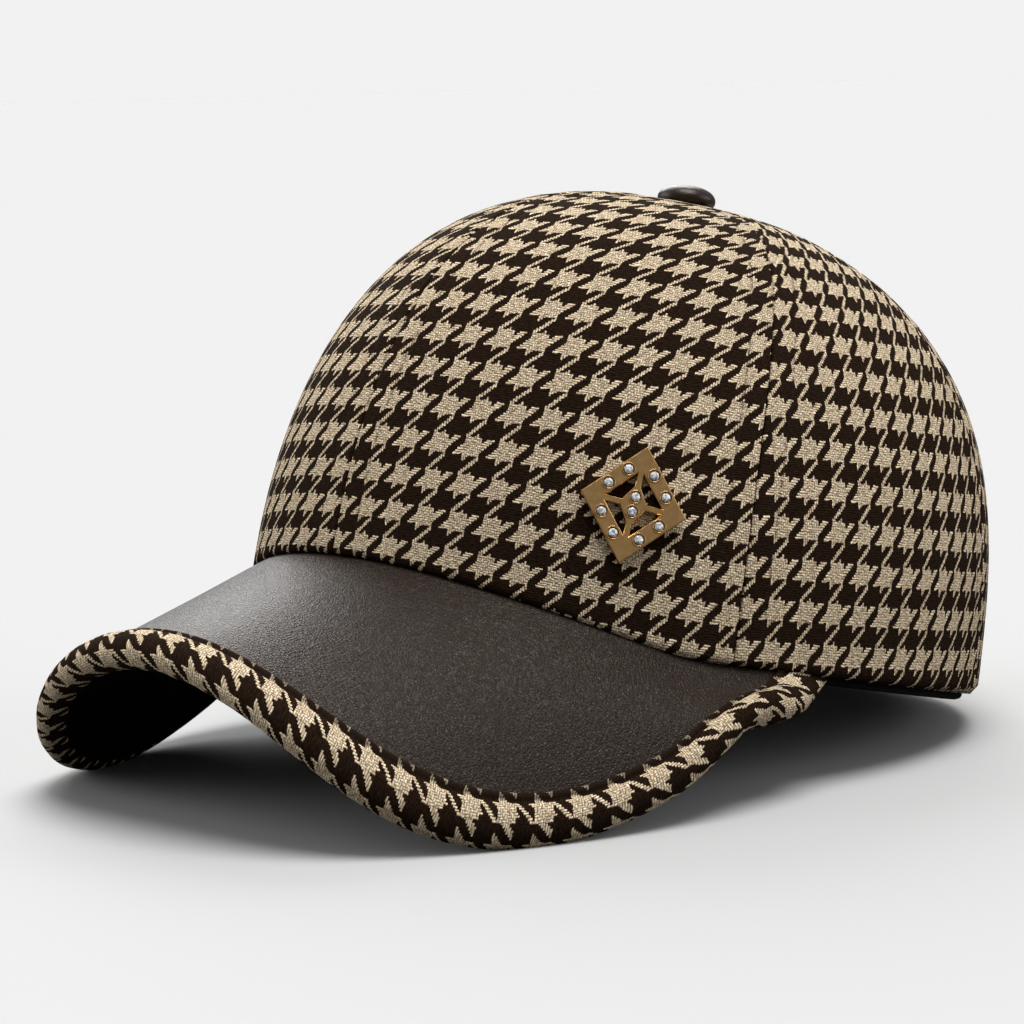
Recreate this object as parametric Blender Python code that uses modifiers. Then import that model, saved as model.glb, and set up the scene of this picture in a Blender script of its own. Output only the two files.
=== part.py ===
"""A six-panel houndstooth cap with one bent, leather-covered peak, resting on a level surface.

The cap is drawn level, with its hem in the XY plane: the front is -Y, the wearer's left is +X, and up is +Z.
An empty then leans it back until the peak's two lobes and the back of the band touch the floor together.
Places on the crown are given by a turn, 0 at the front and 90 degrees at the wearer's left, and by a rise,
0 at the hem plane and 90 degrees at the top. Places on the peak are given on its flat pattern, by the
distance across from the centre line and the distance forward of the front of the hem.
"""

import math

import bmesh
import bpy
from mathutils import Matrix, Vector

MM = 0.001

# The crown, for a 56 cm head.
HEM_HALF_LENGTH = 99.5 * MM
HEM_HALF_WIDTH = 85.3 * MM
CROWN_HEIGHT = 113.7 * MM
APEX_BACK = 4.8 * MM  # the crown's top lies this far behind the middle of the hem
CLOTH = 2.0 * MM
HEM_ARCH = 14.3 * MM  # the hem rises this far over the peak at the centre front
HEM_ARCH_END = math.radians(57.5)  # and is level again at about this turn
# Each profile is a superellipse: reach shapes it outwards, rise shapes it upwards, and 2 would be an ellipse.
CROWN_PROFILES = {
    "front": {"reach": 2.95, "rise": 2.3},
    "side": {"reach": 2.2, "rise": 2.32},
    "back": {"reach": 1.85, "rise": 3.8},
}
# Each seam's turn from the front, in degrees, at the hem and at the button.
SEAMS = {
    "front": {"hem": 0, "top": 0},
    "side_front": {"hem": 65.5, "top": 87},
    "side_back": {"hem": 123, "top": 130},
    "back": {"hem": 180, "top": 180},
}
PANELS = {
    "crown_panel_front": ("front", "side_front"),
    "crown_panel_side": ("side_front", "side_back"),
    "crown_panel_back": ("side_back", "back"),
}
PANEL_COLUMNS = 10
PANEL_ROWS = 11
PANEL_TOP_REACH = 0.045  # the panels stop this share of the way out, and the button covers the hole
EDGE_ROUNDING = 0.6 * MM

# The peak: a flat crescent bent over a cone, which is tighter at the front and slopes down to it.
PEAK_LENGTH = 60 * MM
PEAK_HALF_SPREAD = 113 * MM  # across the flat pattern, centre line to edge
PEAK_WIDEST_AT = -40 * MM  # forward distance of the widest line
PEAK_TAIL = {"inwards": 40 * MM, "backwards": 54 * MM, "squareness": 2.5}  # the edge behind the widest line
PEAK_SLOPE = math.radians(26.5)
PEAK_BEND_RADIUS = 81 * MM  # at the front of the hem
PEAK_BEND_TIGHTENING = 0.37  # radius lost for each metre forward
PEAK_JOIN_HEIGHT = 13.5 * MM  # the leather's height over the hem plane at the centre front
PEAK_CORNER_DROP = 1.2 * MM  # at its corners the leather dips this much further under the hem
PEAK_CORNER_DIP = {"start": math.radians(50), "end": math.radians(66)}
PEAK_JOIN_FADE = 24 * MM  # the sewing to the hem bends the sheet this far out
PEAK_STATIONS = 56
PEAK_ROWS = 5
JOIN_TURN = math.radians(86)  # the sheet follows the hem up to this turn
JOIN_STEPS = 60
SHEET_INSIDE_HEM = 14 * MM  # the uncut sheet runs this far into the head opening
SHEET_END_TURN = math.radians(70)
BOARD = 2.5 * MM
LINING = 0.8 * MM
# The binding's section, from its top inner edge round its tip to its bottom inner edge, then its slot.
SLOT_HALF_HEIGHT = 2.3 * MM
BINDING_SECTION = [
    {"inset": 10.6 * MM, "height": SLOT_HALF_HEIGHT},
    {"inset": 10.6 * MM, "height": 3.1 * MM},
    {"inset": 7.6 * MM, "height": 3.7 * MM},
    {"inset": 4.0 * MM, "height": 3.8 * MM},
    {"inset": 1.2 * MM, "height": 2.7 * MM},
    {"inset": 0.0 * MM, "height": 0.0 * MM},
    {"inset": 1.2 * MM, "height": -2.7 * MM},
    {"inset": 4.0 * MM, "height": -3.8 * MM},
    {"inset": 7.6 * MM, "height": -3.7 * MM},
    {"inset": 10.6 * MM, "height": -3.1 * MM},
    {"inset": 10.6 * MM, "height": -SLOT_HALF_HEIGHT},
    {"inset": 3.0 * MM, "height": -SLOT_HALF_HEIGHT},
    {"inset": 3.0 * MM, "height": SLOT_HALF_HEIGHT},
]
# The roll is pinched thin where its ends are sewn under the hem.
BINDING_PINCH = {"stations": 6, "padding_left": 0.35}
BOARD_INSET = 3.9 * MM  # in from the binding's edge
BOARD_SHOWS_AT = 11 * MM
BOARD_STOPS_SHORT = 2  # stations from each end of the roll, inside the head opening

# The band inside the hem.
BAND = 1.2 * MM
BAND_HEIGHT = 32 * MM
BAND_DROP = 2.5 * MM  # it shows this far below the hem
BAND_DROP_AT_PEAK = 5.5 * MM
BAND_ROWS = 3

GAP = 0.3 * MM
SEAM_GAP = 0.3 * MM
BAND_GAP = 0.5 * MM
HEM_OVER_PEAK = 0.8 * MM
FLATTENED = 0.4 * MM  # how far the cloth is pressed flat where it rests

BUTTON_RADIUS = 7.5 * MM
BUTTON_HEIGHT = 5.4 * MM
BUTTON_POST_RADIUS = 3.2 * MM
BUTTON_POST_LENGTH = 4.5 * MM
BUTTON_SIDES = 28

BADGE_TURN = math.radians(48)
BADGE_HEIGHT_ON_CROWN = 33.5 * MM
BADGE_LEAN = math.radians(8)
BADGE_HALF_WIDTH = 12.5 * MM
BADGE_HALF_HEIGHT = 14 * MM
BADGE_STRIP = 3.9 * MM
BADGE_HEART_HALF_WIDTH = 3.4 * MM
BADGE_HEART_HALF_HEIGHT = 5.6 * MM
BADGE_BAR = 1.5 * MM
BADGE_THICKNESS = 1.7 * MM
BADGE_ROUNDING = 0.2 * MM
COLLAR_RADIUS = 1.65 * MM
COLLAR_HEIGHT = 0.45 * MM
POCKET_RADIUS = 1.35 * MM
POCKET_DEPTH = 1.0 * MM
COLLAR_SIDES = 12

CRYSTAL_RADIUS = 1.1 * MM
CRYSTAL_TABLE_RADIUS = 0.62 * MM
CRYSTAL_CROWN = 0.4 * MM
CRYSTAL_PAVILION = 0.75 * MM
CRYSTAL_SIDES = 8


def clear_scene():
    for thing in list(bpy.data.objects):
        bpy.data.objects.remove(thing, do_unlink=True)


def make_collection(name):
    collection = bpy.data.collections.new(name)
    bpy.context.scene.collection.children.link(collection)
    return collection


def make_material(name, colour, roughness, metallic=0.0):
    material = bpy.data.materials.new(name)
    material.use_nodes = True
    shader = material.node_tree.nodes["Principled BSDF"]
    shader.inputs["Base Color"].default_value = (*colour, 1.0)
    shader.inputs["Roughness"].default_value = roughness
    shader.inputs["Metallic"].default_value = metallic
    return material


def add_object(name, shape, collection, material=None):
    """Puts a bmesh into the scene as an object, smooth but for its real corners."""
    mesh = bpy.data.meshes.new(name)
    shape.to_mesh(mesh)
    shape.free()
    mesh.shade_smooth()
    mesh.set_sharp_from_angle(angle=math.radians(35))
    thing = bpy.data.objects.new(name, mesh)
    collection.objects.link(thing)
    if material:
        mesh.materials.append(material)
    return thing


def shaped_grid(columns, rows, place, rising=None):
    """A grid whose points are put where place(column, row) says.

    rising(column, row), where it is given, says which way to split each four-sided face: up to the next
    column, or down to it.
    """
    shape = bmesh.new()
    bmesh.ops.create_grid(shape, x_segments=columns, y_segments=rows, size=1.0)
    corners = {}
    for vertex in shape.verts:
        column = round((vertex.co.x + 1) / 2 * columns)
        row = round((vertex.co.y + 1) / 2 * rows)
        vertex.co = place(column, row)
        corners[column, row] = vertex
    if rising:
        for column in range(columns):
            for row in range(rows):
                ends = (row, row + 1) if rising(column, row) else (row + 1, row)
                pair = [corners[column, ends[0]], corners[column + 1, ends[1]]]
                bmesh.ops.connect_verts(shape, verts=pair)
    return shape


def close_tube(shape):
    """Joins a rolled grid's first and last columns and fills its two open ends."""
    bmesh.ops.remove_doubles(shape, verts=shape.verts, dist=0.001 * MM)
    bmesh.ops.holes_fill(shape, edges=shape.edges, sides=0)
    bmesh.ops.recalc_face_normals(shape, faces=shape.faces)


def add_wall(thing, thickness, offset):
    wall = thing.modifiers.new("wall", "SOLIDIFY")
    wall.thickness = thickness
    wall.offset = offset


def add_edge_rounding(thing, width):
    rounding = thing.modifiers.new("rounded edges", "BEVEL")
    rounding.width = width
    rounding.segments = 1
    rounding.limit_method = "ANGLE"
    rounding.angle_limit = math.radians(50)


def cut(thing, cutter, name):
    boolean = thing.modifiers.new(name, "BOOLEAN")
    boolean.operation = "DIFFERENCE"
    boolean.object = cutter


def make_cutter(thing):
    thing.hide_render = True
    thing.display_type = "WIRE"
    return thing


def smooth_larger(first, second, softness):
    """The larger of two lengths, with the corner between them rounded."""
    half_difference = (first - second) / 2
    return (first + second) / 2 + math.hypot(half_difference, softness / 2)


def ease(fraction):
    fraction = min(max(fraction, 0.0), 1.0)
    return fraction * fraction * (3 - 2 * fraction)


# The crown's surface.


def profile_powers(turn):
    """The crown's two superellipse powers at this turn, blended between front, side and back."""
    weights = {
        "front": max(math.cos(turn), 0.0) ** 2,
        "side": math.sin(turn) ** 2,
        "back": max(-math.cos(turn), 0.0) ** 2,
    }
    reach = sum(weights[name] * row["reach"] for name, row in CROWN_PROFILES.items())
    rise = sum(weights[name] * row["rise"] for name, row in CROWN_PROFILES.items())
    return reach, rise


def crown_point(turn, rise):
    reach_power, rise_power = profile_powers(turn)
    reach = max(math.cos(rise), 0.0) ** (2 / reach_power)
    height = max(math.sin(rise), 0.0) ** (2 / rise_power)
    return Vector((
        HEM_HALF_WIDTH * math.sin(turn) * reach,
        -HEM_HALF_LENGTH * math.cos(turn) * reach + APEX_BACK * (1 - reach),
        CROWN_HEIGHT * height,
    ))


def crown_normal(turn, rise):
    step = 0.002
    low_rise = max(rise - step, 0.0)
    around = crown_point(turn + step, rise) - crown_point(turn - step, rise)
    up = crown_point(turn, low_rise + 2 * step) - crown_point(turn, low_rise)
    return around.cross(up).normalized()


def rise_at_height(turn, height):
    rise_power = profile_powers(turn)[1]
    return math.asin((max(height, 0.0) / CROWN_HEIGHT) ** (rise_power / 2))


def top_rise(turn):
    """The rise at which the panels stop, round the hole under the button."""
    return math.acos(PANEL_TOP_REACH ** (profile_powers(turn)[0] / 2))


def crown_wall_point(turn, height, depth):
    """A point at this height, this far inside the crown's outer face. Below the hem plane the wall is upright."""
    rise = rise_at_height(turn, height)
    point = crown_point(turn, rise) - crown_normal(turn, rise) * depth
    if height < 0:
        point.z = height
    return point


def ellipse_point(turn, outset):
    """A plan point on the hem's outline, moved outwards by outset."""
    x = (HEM_HALF_WIDTH + outset) * math.sin(turn)
    y = -(HEM_HALF_LENGTH + outset) * math.cos(turn)
    return x, y


def hem_height(turn):
    """The crown's lower edge: level at the sides and back, arched up over the peak at the front."""
    turn = math.remainder(turn, 2 * math.pi)
    if abs(turn) >= 2 * HEM_ARCH_END:
        return 0.0
    arch = HEM_ARCH * math.cos(turn / HEM_ARCH_END * math.pi / 2)
    return smooth_larger(arch, 0.0, 1.5 * MM)


# The peak's surface.


def bend_radius(forward):
    return PEAK_BEND_RADIUS - PEAK_BEND_TIGHTENING * forward


def forward_of(y):
    return -(y + HEM_HALF_LENGTH) / math.cos(PEAK_SLOPE)


def bent_point(across, forward):
    radius = bend_radius(forward)
    angle = across / radius
    return Vector((
        radius * math.sin(angle),
        -HEM_HALF_LENGTH - forward * math.cos(PEAK_SLOPE),
        PEAK_JOIN_HEIGHT - forward * math.sin(PEAK_SLOPE) - radius * (1 - math.cos(angle)),
    ))


def pattern_place(x, y):
    """The flat pattern's across and forward for a plan point."""
    forward = forward_of(y)
    radius = bend_radius(forward)
    return radius * math.asin(max(min(x / radius, 1.0), -1.0)), forward


def join_line():
    """The pattern points on the hem's outline, each with the lift that puts the leather just under the hem."""
    rows = []
    for step in range(2 * JOIN_STEPS + 1):
        turn = JOIN_TURN * (step / JOIN_STEPS - 1)
        across, forward = pattern_place(*ellipse_point(turn, 0.0))
        dip_start, dip_end = PEAK_CORNER_DIP["start"], PEAK_CORNER_DIP["end"]
        dip = PEAK_CORNER_DROP * ease((abs(turn) - dip_start) / (dip_end - dip_start))
        height = hem_height(turn) - HEM_OVER_PEAK - dip
        rows.append(Vector((across, forward, height - bent_point(across, forward).z)))
    return rows


def lift_to_hem(across, forward, line):
    """How far the sewing to the hem moves the sheet from the plain bend: all of it inside the hem, less outside."""
    place = Vector((across, forward))
    nearest, lift = math.inf, 0.0
    for first, second in zip(line, line[1:]):
        along = second.xy - first.xy
        share = min(max((place - first.xy).dot(along) / along.length_squared, 0.0), 1.0)
        distance = (place - first.xy - along * share).length
        if distance < nearest:
            nearest, lift = distance, first.z + (second.z - first.z) * share
    x, y, _ = bent_point(across, forward)
    if (x / HEM_HALF_WIDTH) ** 2 + (y / HEM_HALF_LENGTH) ** 2 < 1:
        return lift
    return lift * (1 - ease(nearest / PEAK_JOIN_FADE))


def peak_surface(across, forward, line):
    point = bent_point(across, forward)
    point.z += lift_to_hem(across, forward, line)
    return point


def peak_point(across, forward, depth, line):
    """A point this far under the leather's face, square to it."""
    step = 0.5 * MM
    sideways = peak_surface(across + step, forward, line) - peak_surface(across - step, forward, line)
    forwards = peak_surface(across, forward + step, line) - peak_surface(across, forward - step, line)
    return peak_surface(across, forward, line) - forwards.cross(sideways).normalized() * depth


def peak_outline_at(fraction):
    """The flat pattern's edge from the centre front, 0, to the end of one tail, 2, before it is evened out."""
    angle = fraction * math.pi / 2
    if fraction <= 1:
        depth = (PEAK_LENGTH - PEAK_WIDEST_AT) * math.cos(angle)
        return Vector((PEAK_HALF_SPREAD * math.sin(angle), PEAK_WIDEST_AT + depth))
    power = 2 / PEAK_TAIL["squareness"]
    inwards = PEAK_TAIL["inwards"] * (1 - max(math.sin(angle), 0.0) ** power)
    backwards = PEAK_TAIL["backwards"] * (-math.cos(angle)) ** power
    return Vector((PEAK_HALF_SPREAD - inwards, PEAK_WIDEST_AT - backwards))


def spaced_evenly(points, count):
    """count + 1 points an equal distance apart along a line of points."""
    lengths = [0.0]
    for first, second in zip(points, points[1:]):
        lengths.append(lengths[-1] + (second - first).length)
    spaced = []
    piece = 0
    for index in range(count + 1):
        target = lengths[-1] * index / count
        while piece < len(points) - 2 and lengths[piece + 1] < target:
            piece += 1
        share = (target - lengths[piece]) / (lengths[piece + 1] - lengths[piece])
        spaced.append(points[piece].lerp(points[piece + 1], share))
    return spaced


def outline_stations():
    """The peak's edge from tail to tail, as pairs of a pattern point and the direction in from the edge."""
    half_line = [peak_outline_at(2 * step / 400) for step in range(401)]
    half = spaced_evenly(half_line, PEAK_STATIONS // 2)
    mirrored = [Vector((-point.x, point.y)) for point in reversed(half[1:])]
    line = mirrored + half
    stations = []
    for index, point in enumerate(line):
        before = line[max(index - 1, 0)]
        after = line[min(index + 1, len(line) - 1)]
        along = (after - before).normalized()
        stations.append((point, Vector((along.y, -along.x))))
    return stations


def join_stations():
    """The pattern points just inside the head opening, opposite the outline's stations."""
    line = []
    for step in range(401):
        turn = SHEET_END_TURN * (step / 200 - 1)
        line.append(Vector(pattern_place(*ellipse_point(turn, -SHEET_INSIDE_HEM))))
    return spaced_evenly(line, PEAK_STATIONS)


# The pieces.


def seam_turn(seam, climb):
    """A seam's turn at this share of the way up, 0 at the hem and 1 at the top."""
    row = SEAMS[seam]
    return math.radians(row["hem"] + (row["top"] - row["hem"]) * climb**2)


def panel_point(first_seam, second_seam, side, across, climb):
    """A point on a panel's inner face. Side is 1 for the wearer's left and -1 for the right."""
    first = seam_turn(first_seam, climb)
    second = seam_turn(second_seam, climb)
    from_top = crown_point(first, climb * top_rise(first)).xy - Vector((0.0, APEX_BACK))
    half_gap = SEAM_GAP / 2 / from_top.length
    first += half_gap
    second -= half_gap
    if side < 0:
        across = 1 - across
    turn = side * (first + (second - first) * across)
    hem_rise = rise_at_height(turn, hem_height(turn))
    rise = hem_rise + (top_rise(turn) - hem_rise) * climb
    return crown_point(turn, rise) - crown_normal(turn, rise) * CLOTH


def make_panels(collection, cloth):
    for base_name, (first_seam, second_seam) in PANELS.items():
        for side, side_name in ((1, "left"), (-1, "right")):
            shape = shaped_grid(
                PANEL_COLUMNS,
                PANEL_ROWS,
                lambda column, row: panel_point(
                    first_seam, second_seam, side, column / PANEL_COLUMNS, row / PANEL_ROWS
                ),
            )
            panel = add_object(f"{base_name}_{side_name}", shape, collection, cloth)
            add_wall(panel, CLOTH, 1)
            add_edge_rounding(panel, EDGE_ROUNDING)


def hem_turns():
    """The turns of every panel column at the hem, all the way round from the front."""
    corners = [row["hem"] for row in SEAMS.values()]
    left = [
        start + (end - start) * step / PANEL_COLUMNS
        for start, end in zip(corners, corners[1:])
        for step in range(PANEL_COLUMNS)
    ]
    right = [360 - turn for turn in reversed([*left[1:], 180])]
    return [math.radians(turn) for turn in [*left, *right, 360]]


def make_band(collection, black):
    turns = hem_turns()
    depth = CLOTH + BAND_GAP + BAND

    def place(column, row):
        turn = turns[column]
        near_peak = ease((math.cos(turn) - math.cos(math.radians(70))) / 0.35)
        low = hem_height(turn) - BAND_DROP - (BAND_DROP_AT_PEAK - BAND_DROP) * near_peak
        high = hem_height(turn) + BAND_HEIGHT
        return crown_wall_point(turn, low + (high - low) * row / BAND_ROWS, depth)

    shape = shaped_grid(len(turns) - 1, BAND_ROWS, place)
    bmesh.ops.remove_doubles(shape, verts=shape.verts, dist=0.001 * MM)
    band = add_object("sweatband", shape, collection, black)
    add_wall(band, BAND, 1)
    return band


def make_opening_cutter(cutters):
    """The head opening and all that lies over the hem, as a stepped plug."""
    turns = hem_turns()
    steps = [
        {"outset": -CLOTH, "over_hem": False, "height": -70 * MM},
        {"outset": -CLOTH, "over_hem": True, "height": -HEM_OVER_PEAK / 2},
        {"outset": 8 * MM, "over_hem": True, "height": -HEM_OVER_PEAK / 2},
        {"outset": 8 * MM, "over_hem": False, "height": 60 * MM},
    ]

    def place(column, row):
        step = steps[row]
        x, y = ellipse_point(turns[column], step["outset"])
        base = hem_height(turns[column]) if step["over_hem"] else 0.0
        return Vector((x, y, base + step["height"]))

    shape = shaped_grid(len(turns) - 1, len(steps) - 1, place)
    close_tube(shape)
    return make_cutter(add_object("opening_cutter", shape, cutters))


def make_peak_layer(name, top_depth, bottom_depth, collection, material):
    """One layer of the peak: a crescent that follows the bend, between two depths under the leather's face."""
    short = BOARD_STOPS_SHORT
    stations = outline_stations()[short:-short]
    joins = join_stations()[short:-short]
    line = join_line()
    sides = 2 * (PEAK_ROWS + 1)

    def place(column, row):
        side = column % sides
        step = min(side, sides - 1 - side)
        point, inward = stations[row]
        if step == 0:
            across, forward = point + inward * BOARD_INSET
        else:
            out_of_binding = point + inward * BOARD_SHOWS_AT
            across, forward = out_of_binding.lerp(joins[row], (step - 1) / (PEAK_ROWS - 1))
        return peak_point(across, forward, top_depth if side <= PEAK_ROWS else bottom_depth, line)

    def rising(column, row):
        """The top and bottom faces of both layers are split alike, so they keep their distance."""
        return (column <= PEAK_ROWS) == (row < (len(stations) - 1) / 2)

    shape = shaped_grid(sides, len(stations) - 1, place, rising)
    close_tube(shape)
    return add_object(name, shape, collection, material)


def pinched(height, stations_from_end):
    """A height on the binding's section, with its padding thinned near the roll's ends."""
    padding = max(abs(height) - SLOT_HALF_HEIGHT, 0.0)
    full = ease(stations_from_end / BINDING_PINCH["stations"])
    lost = padding * (1 - BINDING_PINCH["padding_left"]) * (1 - full)
    return height - math.copysign(lost, height)


def make_binding(collection, cloth):
    """A padded roll round the peak's edge, with a slot that takes the board and the cloth under it."""
    stations = outline_stations()
    line = join_line()
    middle_depth = (BOARD + GAP + LINING) / 2
    sides = len(BINDING_SECTION)

    def place(column, row):
        point, inward = stations[row]
        corner = BINDING_SECTION[column % sides]
        across, forward = point + inward * corner["inset"]
        height = pinched(corner["height"], min(row, PEAK_STATIONS - row))
        return peak_point(across, forward, middle_depth - height, line)

    def rising(column, row):
        """The slot's faces are split as the layers in it are."""
        inwards = BINDING_SECTION[(column + 1) % sides]["inset"] >= BINDING_SECTION[column]["inset"]
        return inwards == (row < PEAK_STATIONS / 2)

    shape = shaped_grid(sides, PEAK_STATIONS, place, rising)
    close_tube(shape)
    return add_object("peak_binding", shape, collection, cloth)


def make_button(collection, leather):
    """A turned dome on a short post, which passes down through the panels' meeting point."""
    rim = 0.45 * BUTTON_HEIGHT
    profile = [
        (0.0, BUTTON_HEIGHT),
        (0.36 * BUTTON_RADIUS, 0.97 * BUTTON_HEIGHT),
        (0.68 * BUTTON_RADIUS, 0.86 * BUTTON_HEIGHT),
        (0.90 * BUTTON_RADIUS, 0.68 * BUTTON_HEIGHT),
        (BUTTON_RADIUS, rim),
        (0.95 * BUTTON_RADIUS, 0.15 * BUTTON_HEIGHT),
        (0.84 * BUTTON_RADIUS, 0.0),
        (BUTTON_POST_RADIUS, 0.0),
        (BUTTON_POST_RADIUS, -BUTTON_POST_LENGTH),
        (0.0, -BUTTON_POST_LENGTH),
    ]
    shape = bmesh.new()
    corners = [shape.verts.new((x, 0.0, z)) for x, z in profile]
    for first, second in zip(corners, corners[1:]):
        shape.edges.new((first, second))
    button = add_object("top_button", shape, collection, leather)
    add_turning(button, BUTTON_SIDES)
    button.location = (0.0, APEX_BACK, CROWN_HEIGHT + GAP)


def add_turning(thing, sides):
    turning = thing.modifiers.new("turned", "SCREW")
    turning.steps = sides
    turning.render_steps = sides
    turning.use_merge_vertices = True
    turning.merge_threshold = 0.01 * MM
    turning.use_smooth_shade = False


def badge_matrix():
    """The badge's place: its +Z out of the crown, and its +Y up the crown, leaning."""
    rise = rise_at_height(BADGE_TURN, BADGE_HEIGHT_ON_CROWN)
    out = crown_normal(BADGE_TURN, rise)
    up = (Vector((0, 0, 1)) - out * out.z).normalized()
    right = up.cross(out)
    turned_up = up * math.cos(BADGE_LEAN) + right * math.sin(BADGE_LEAN)
    turned_right = turned_up.cross(out)
    centre = crown_point(BADGE_TURN, rise) + out * (GAP + BADGE_THICKNESS / 2)
    matrix = Matrix((turned_right, turned_up, out)).transposed().to_4x4()
    matrix.translation = centre
    return matrix


def crystal_places():
    """The stones' centres on the badge's face: two on each side of the lozenge, and two in its heart."""
    middle = 1 - BADGE_STRIP / 2 * math.hypot(BADGE_HALF_WIDTH, BADGE_HALF_HEIGHT) / (
        BADGE_HALF_WIDTH * BADGE_HALF_HEIGHT
    )
    places = []
    for sign_x in (-1, 1):
        for sign_y in (-1, 1):
            for share in (0.31, 0.69):
                places.append((
                    sign_x * BADGE_HALF_WIDTH * middle * share,
                    sign_y * BADGE_HALF_HEIGHT * middle * (1 - share),
                ))
    places += [(0.0, 1.75 * MM), (0.0, -1.75 * MM)]
    return places


def badge_openings():
    """The lozenge's four windows, each between the frame, the heart and two bars."""
    width, height = BADGE_HALF_WIDTH, BADGE_HALF_HEIGHT
    inner = 1 - BADGE_STRIP * math.hypot(width, height) / (width * height)
    half_bar = BADGE_BAR / 2
    heart_width, heart_height = BADGE_HEART_HALF_WIDTH, BADGE_HEART_HALF_HEIGHT
    corners = [
        (heart_width * (1 - half_bar / heart_height), half_bar),
        (width * inner - half_bar * width / height, half_bar),
        (half_bar, height * inner - half_bar * height / width),
        (half_bar, heart_height * (1 - half_bar / heart_width)),
    ]
    return [[(sign_x * x, sign_y * y) for x, y in corners] for sign_x in (-1, 1) for sign_y in (-1, 1)]


def add_outline(curve, corners):
    spline = curve.splines.new("POLY")
    spline.points.add(len(corners) - 1)
    for point, (x, y) in zip(spline.points, corners):
        point.co = (x, y, 0.0, 1.0)
    spline.use_cyclic_u = True


def make_posts(name, radius, low, high, cutters):
    """One upright round post at each stone's place, all in one helper."""
    shape = bmesh.new()
    for x, y in crystal_places():
        bmesh.ops.create_cone(
            shape,
            cap_ends=True,
            segments=COLLAR_SIDES,
            radius1=radius,
            radius2=radius,
            depth=high - low,
            matrix=Matrix.Translation((x, y, (low + high) / 2)),
        )
    posts = make_cutter(add_object(name, shape, cutters))
    posts.matrix_world = badge_matrix()
    return posts


def make_badge(collection, cutters, gold):
    """A pierced lozenge plate with a raised collar and a pocket for each stone."""
    curve = bpy.data.curves.new("badge_outline", "CURVE")
    curve.dimensions = "2D"
    curve.fill_mode = "BOTH"
    curve.extrude = BADGE_THICKNESS / 2 - BADGE_ROUNDING
    curve.bevel_depth = BADGE_ROUNDING
    curve.bevel_resolution = 0
    curve.offset = -BADGE_ROUNDING
    width, height = BADGE_HALF_WIDTH, BADGE_HALF_HEIGHT
    add_outline(curve, [(width, 0), (0, height), (-width, 0), (0, -height)])
    for corners in badge_openings():
        add_outline(curve, corners)
    outline = bpy.data.objects.new("badge_outline", curve)
    collection.objects.link(outline)
    bpy.context.view_layer.update()
    graph = bpy.context.evaluated_depsgraph_get()
    flat_mesh = bpy.data.meshes.new_from_object(outline.evaluated_get(graph))
    shape = bmesh.new()
    shape.from_mesh(flat_mesh)
    bmesh.ops.remove_doubles(shape, verts=shape.verts, dist=0.001 * MM)
    bpy.data.objects.remove(outline, do_unlink=True)
    badge = add_object("badge", shape, collection, gold)
    badge.matrix_world = badge_matrix()
    face = BADGE_THICKNESS / 2
    collars = badge.modifiers.new("collars", "BOOLEAN")
    collars.operation = "UNION"
    collars.object = make_posts("collars", COLLAR_RADIUS, -face / 2, face + COLLAR_HEIGHT, cutters)
    pockets = make_posts("pockets", POCKET_RADIUS, face - POCKET_DEPTH, face + 2 * MM, cutters)
    cut(badge, pockets, "pockets")


def make_crystals(collection, crystal):
    """Round stones with an eight-sided table, eight crown facets and eight pavilion facets."""
    shape = bmesh.new()
    profile = [
        (0.0, CRYSTAL_CROWN),
        (CRYSTAL_TABLE_RADIUS, CRYSTAL_CROWN),
        (CRYSTAL_RADIUS, 0.0),
        (0.0, -CRYSTAL_PAVILION),
    ]
    corners = [shape.verts.new((x, 0.0, z)) for x, z in profile]
    for first, second in zip(corners, corners[1:]):
        shape.edges.new((first, second))
    girdle = BADGE_THICKNESS / 2 + COLLAR_HEIGHT - 0.1 * MM
    stone = add_object("crystal_01", shape, collection, crystal)
    for index, (x, y) in enumerate(crystal_places(), start=1):
        if index > 1:
            stone = bpy.data.objects.new(f"crystal_{index:02d}", stone.data)
            collection.objects.link(stone)
        add_turning(stone, CRYSTAL_SIDES)
        stone.matrix_world = badge_matrix() @ Matrix.Translation((x, y, girdle))


def lowest_after_lean(points, lean):
    return min(point.z * math.cos(lean) - point.y * math.sin(lean) for point in points)


def resting_lean(front_points, back_points):
    """The lean at which the lowest front point and the lowest back point touch one level floor."""
    low, high = math.radians(5), math.radians(20)
    for _ in range(40):
        middle = (low + high) / 2
        if lowest_after_lean(front_points, middle) < lowest_after_lean(back_points, middle):
            low = middle
        else:
            high = middle
    return middle


def finished_points(thing):
    graph = bpy.context.evaluated_depsgraph_get()
    mesh = thing.evaluated_get(graph).to_mesh()
    return [thing.matrix_world @ vertex.co for vertex in mesh.vertices]


def set_down(collection, cutters, binding, band):
    """Leans the cap back on an empty until it rests, and presses its cloth flat where it touches."""
    bpy.context.view_layer.update()
    front_points = finished_points(binding)
    back_points = [point for point in finished_points(band) if point.y > 0]
    lean = resting_lean(front_points, back_points)
    rest = bpy.data.objects.new("cap_rest", None)
    collection.objects.link(rest)
    for thing in list(collection.objects) + list(cutters.objects):
        if thing is not rest:
            thing.parent = rest
    rest.rotation_euler = (-lean, 0.0, 0.0)
    rest.location.z = -lowest_after_lean(back_points, lean) - FLATTENED
    bpy.context.view_layer.update()
    places = [point.y for thing in collection.objects if thing.type == "MESH" for point in finished_points(thing)]
    rest.location.y = -(min(places) + max(places)) / 2
    shape = bmesh.new()
    bmesh.ops.create_cube(shape, size=1.0)
    floor = make_cutter(add_object("floor_cutter", shape, cutters))
    floor.scale = (0.5, 0.6, 0.02)
    floor.location.z = -0.01
    for thing in (binding, band):
        cut(thing, floor, "pressed flat")
    place = rest.location / MM
    print(f"leans back {math.degrees(lean):.2f} degrees, moved to {place.y:.2f}, {place.z:.2f} mm")


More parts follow.
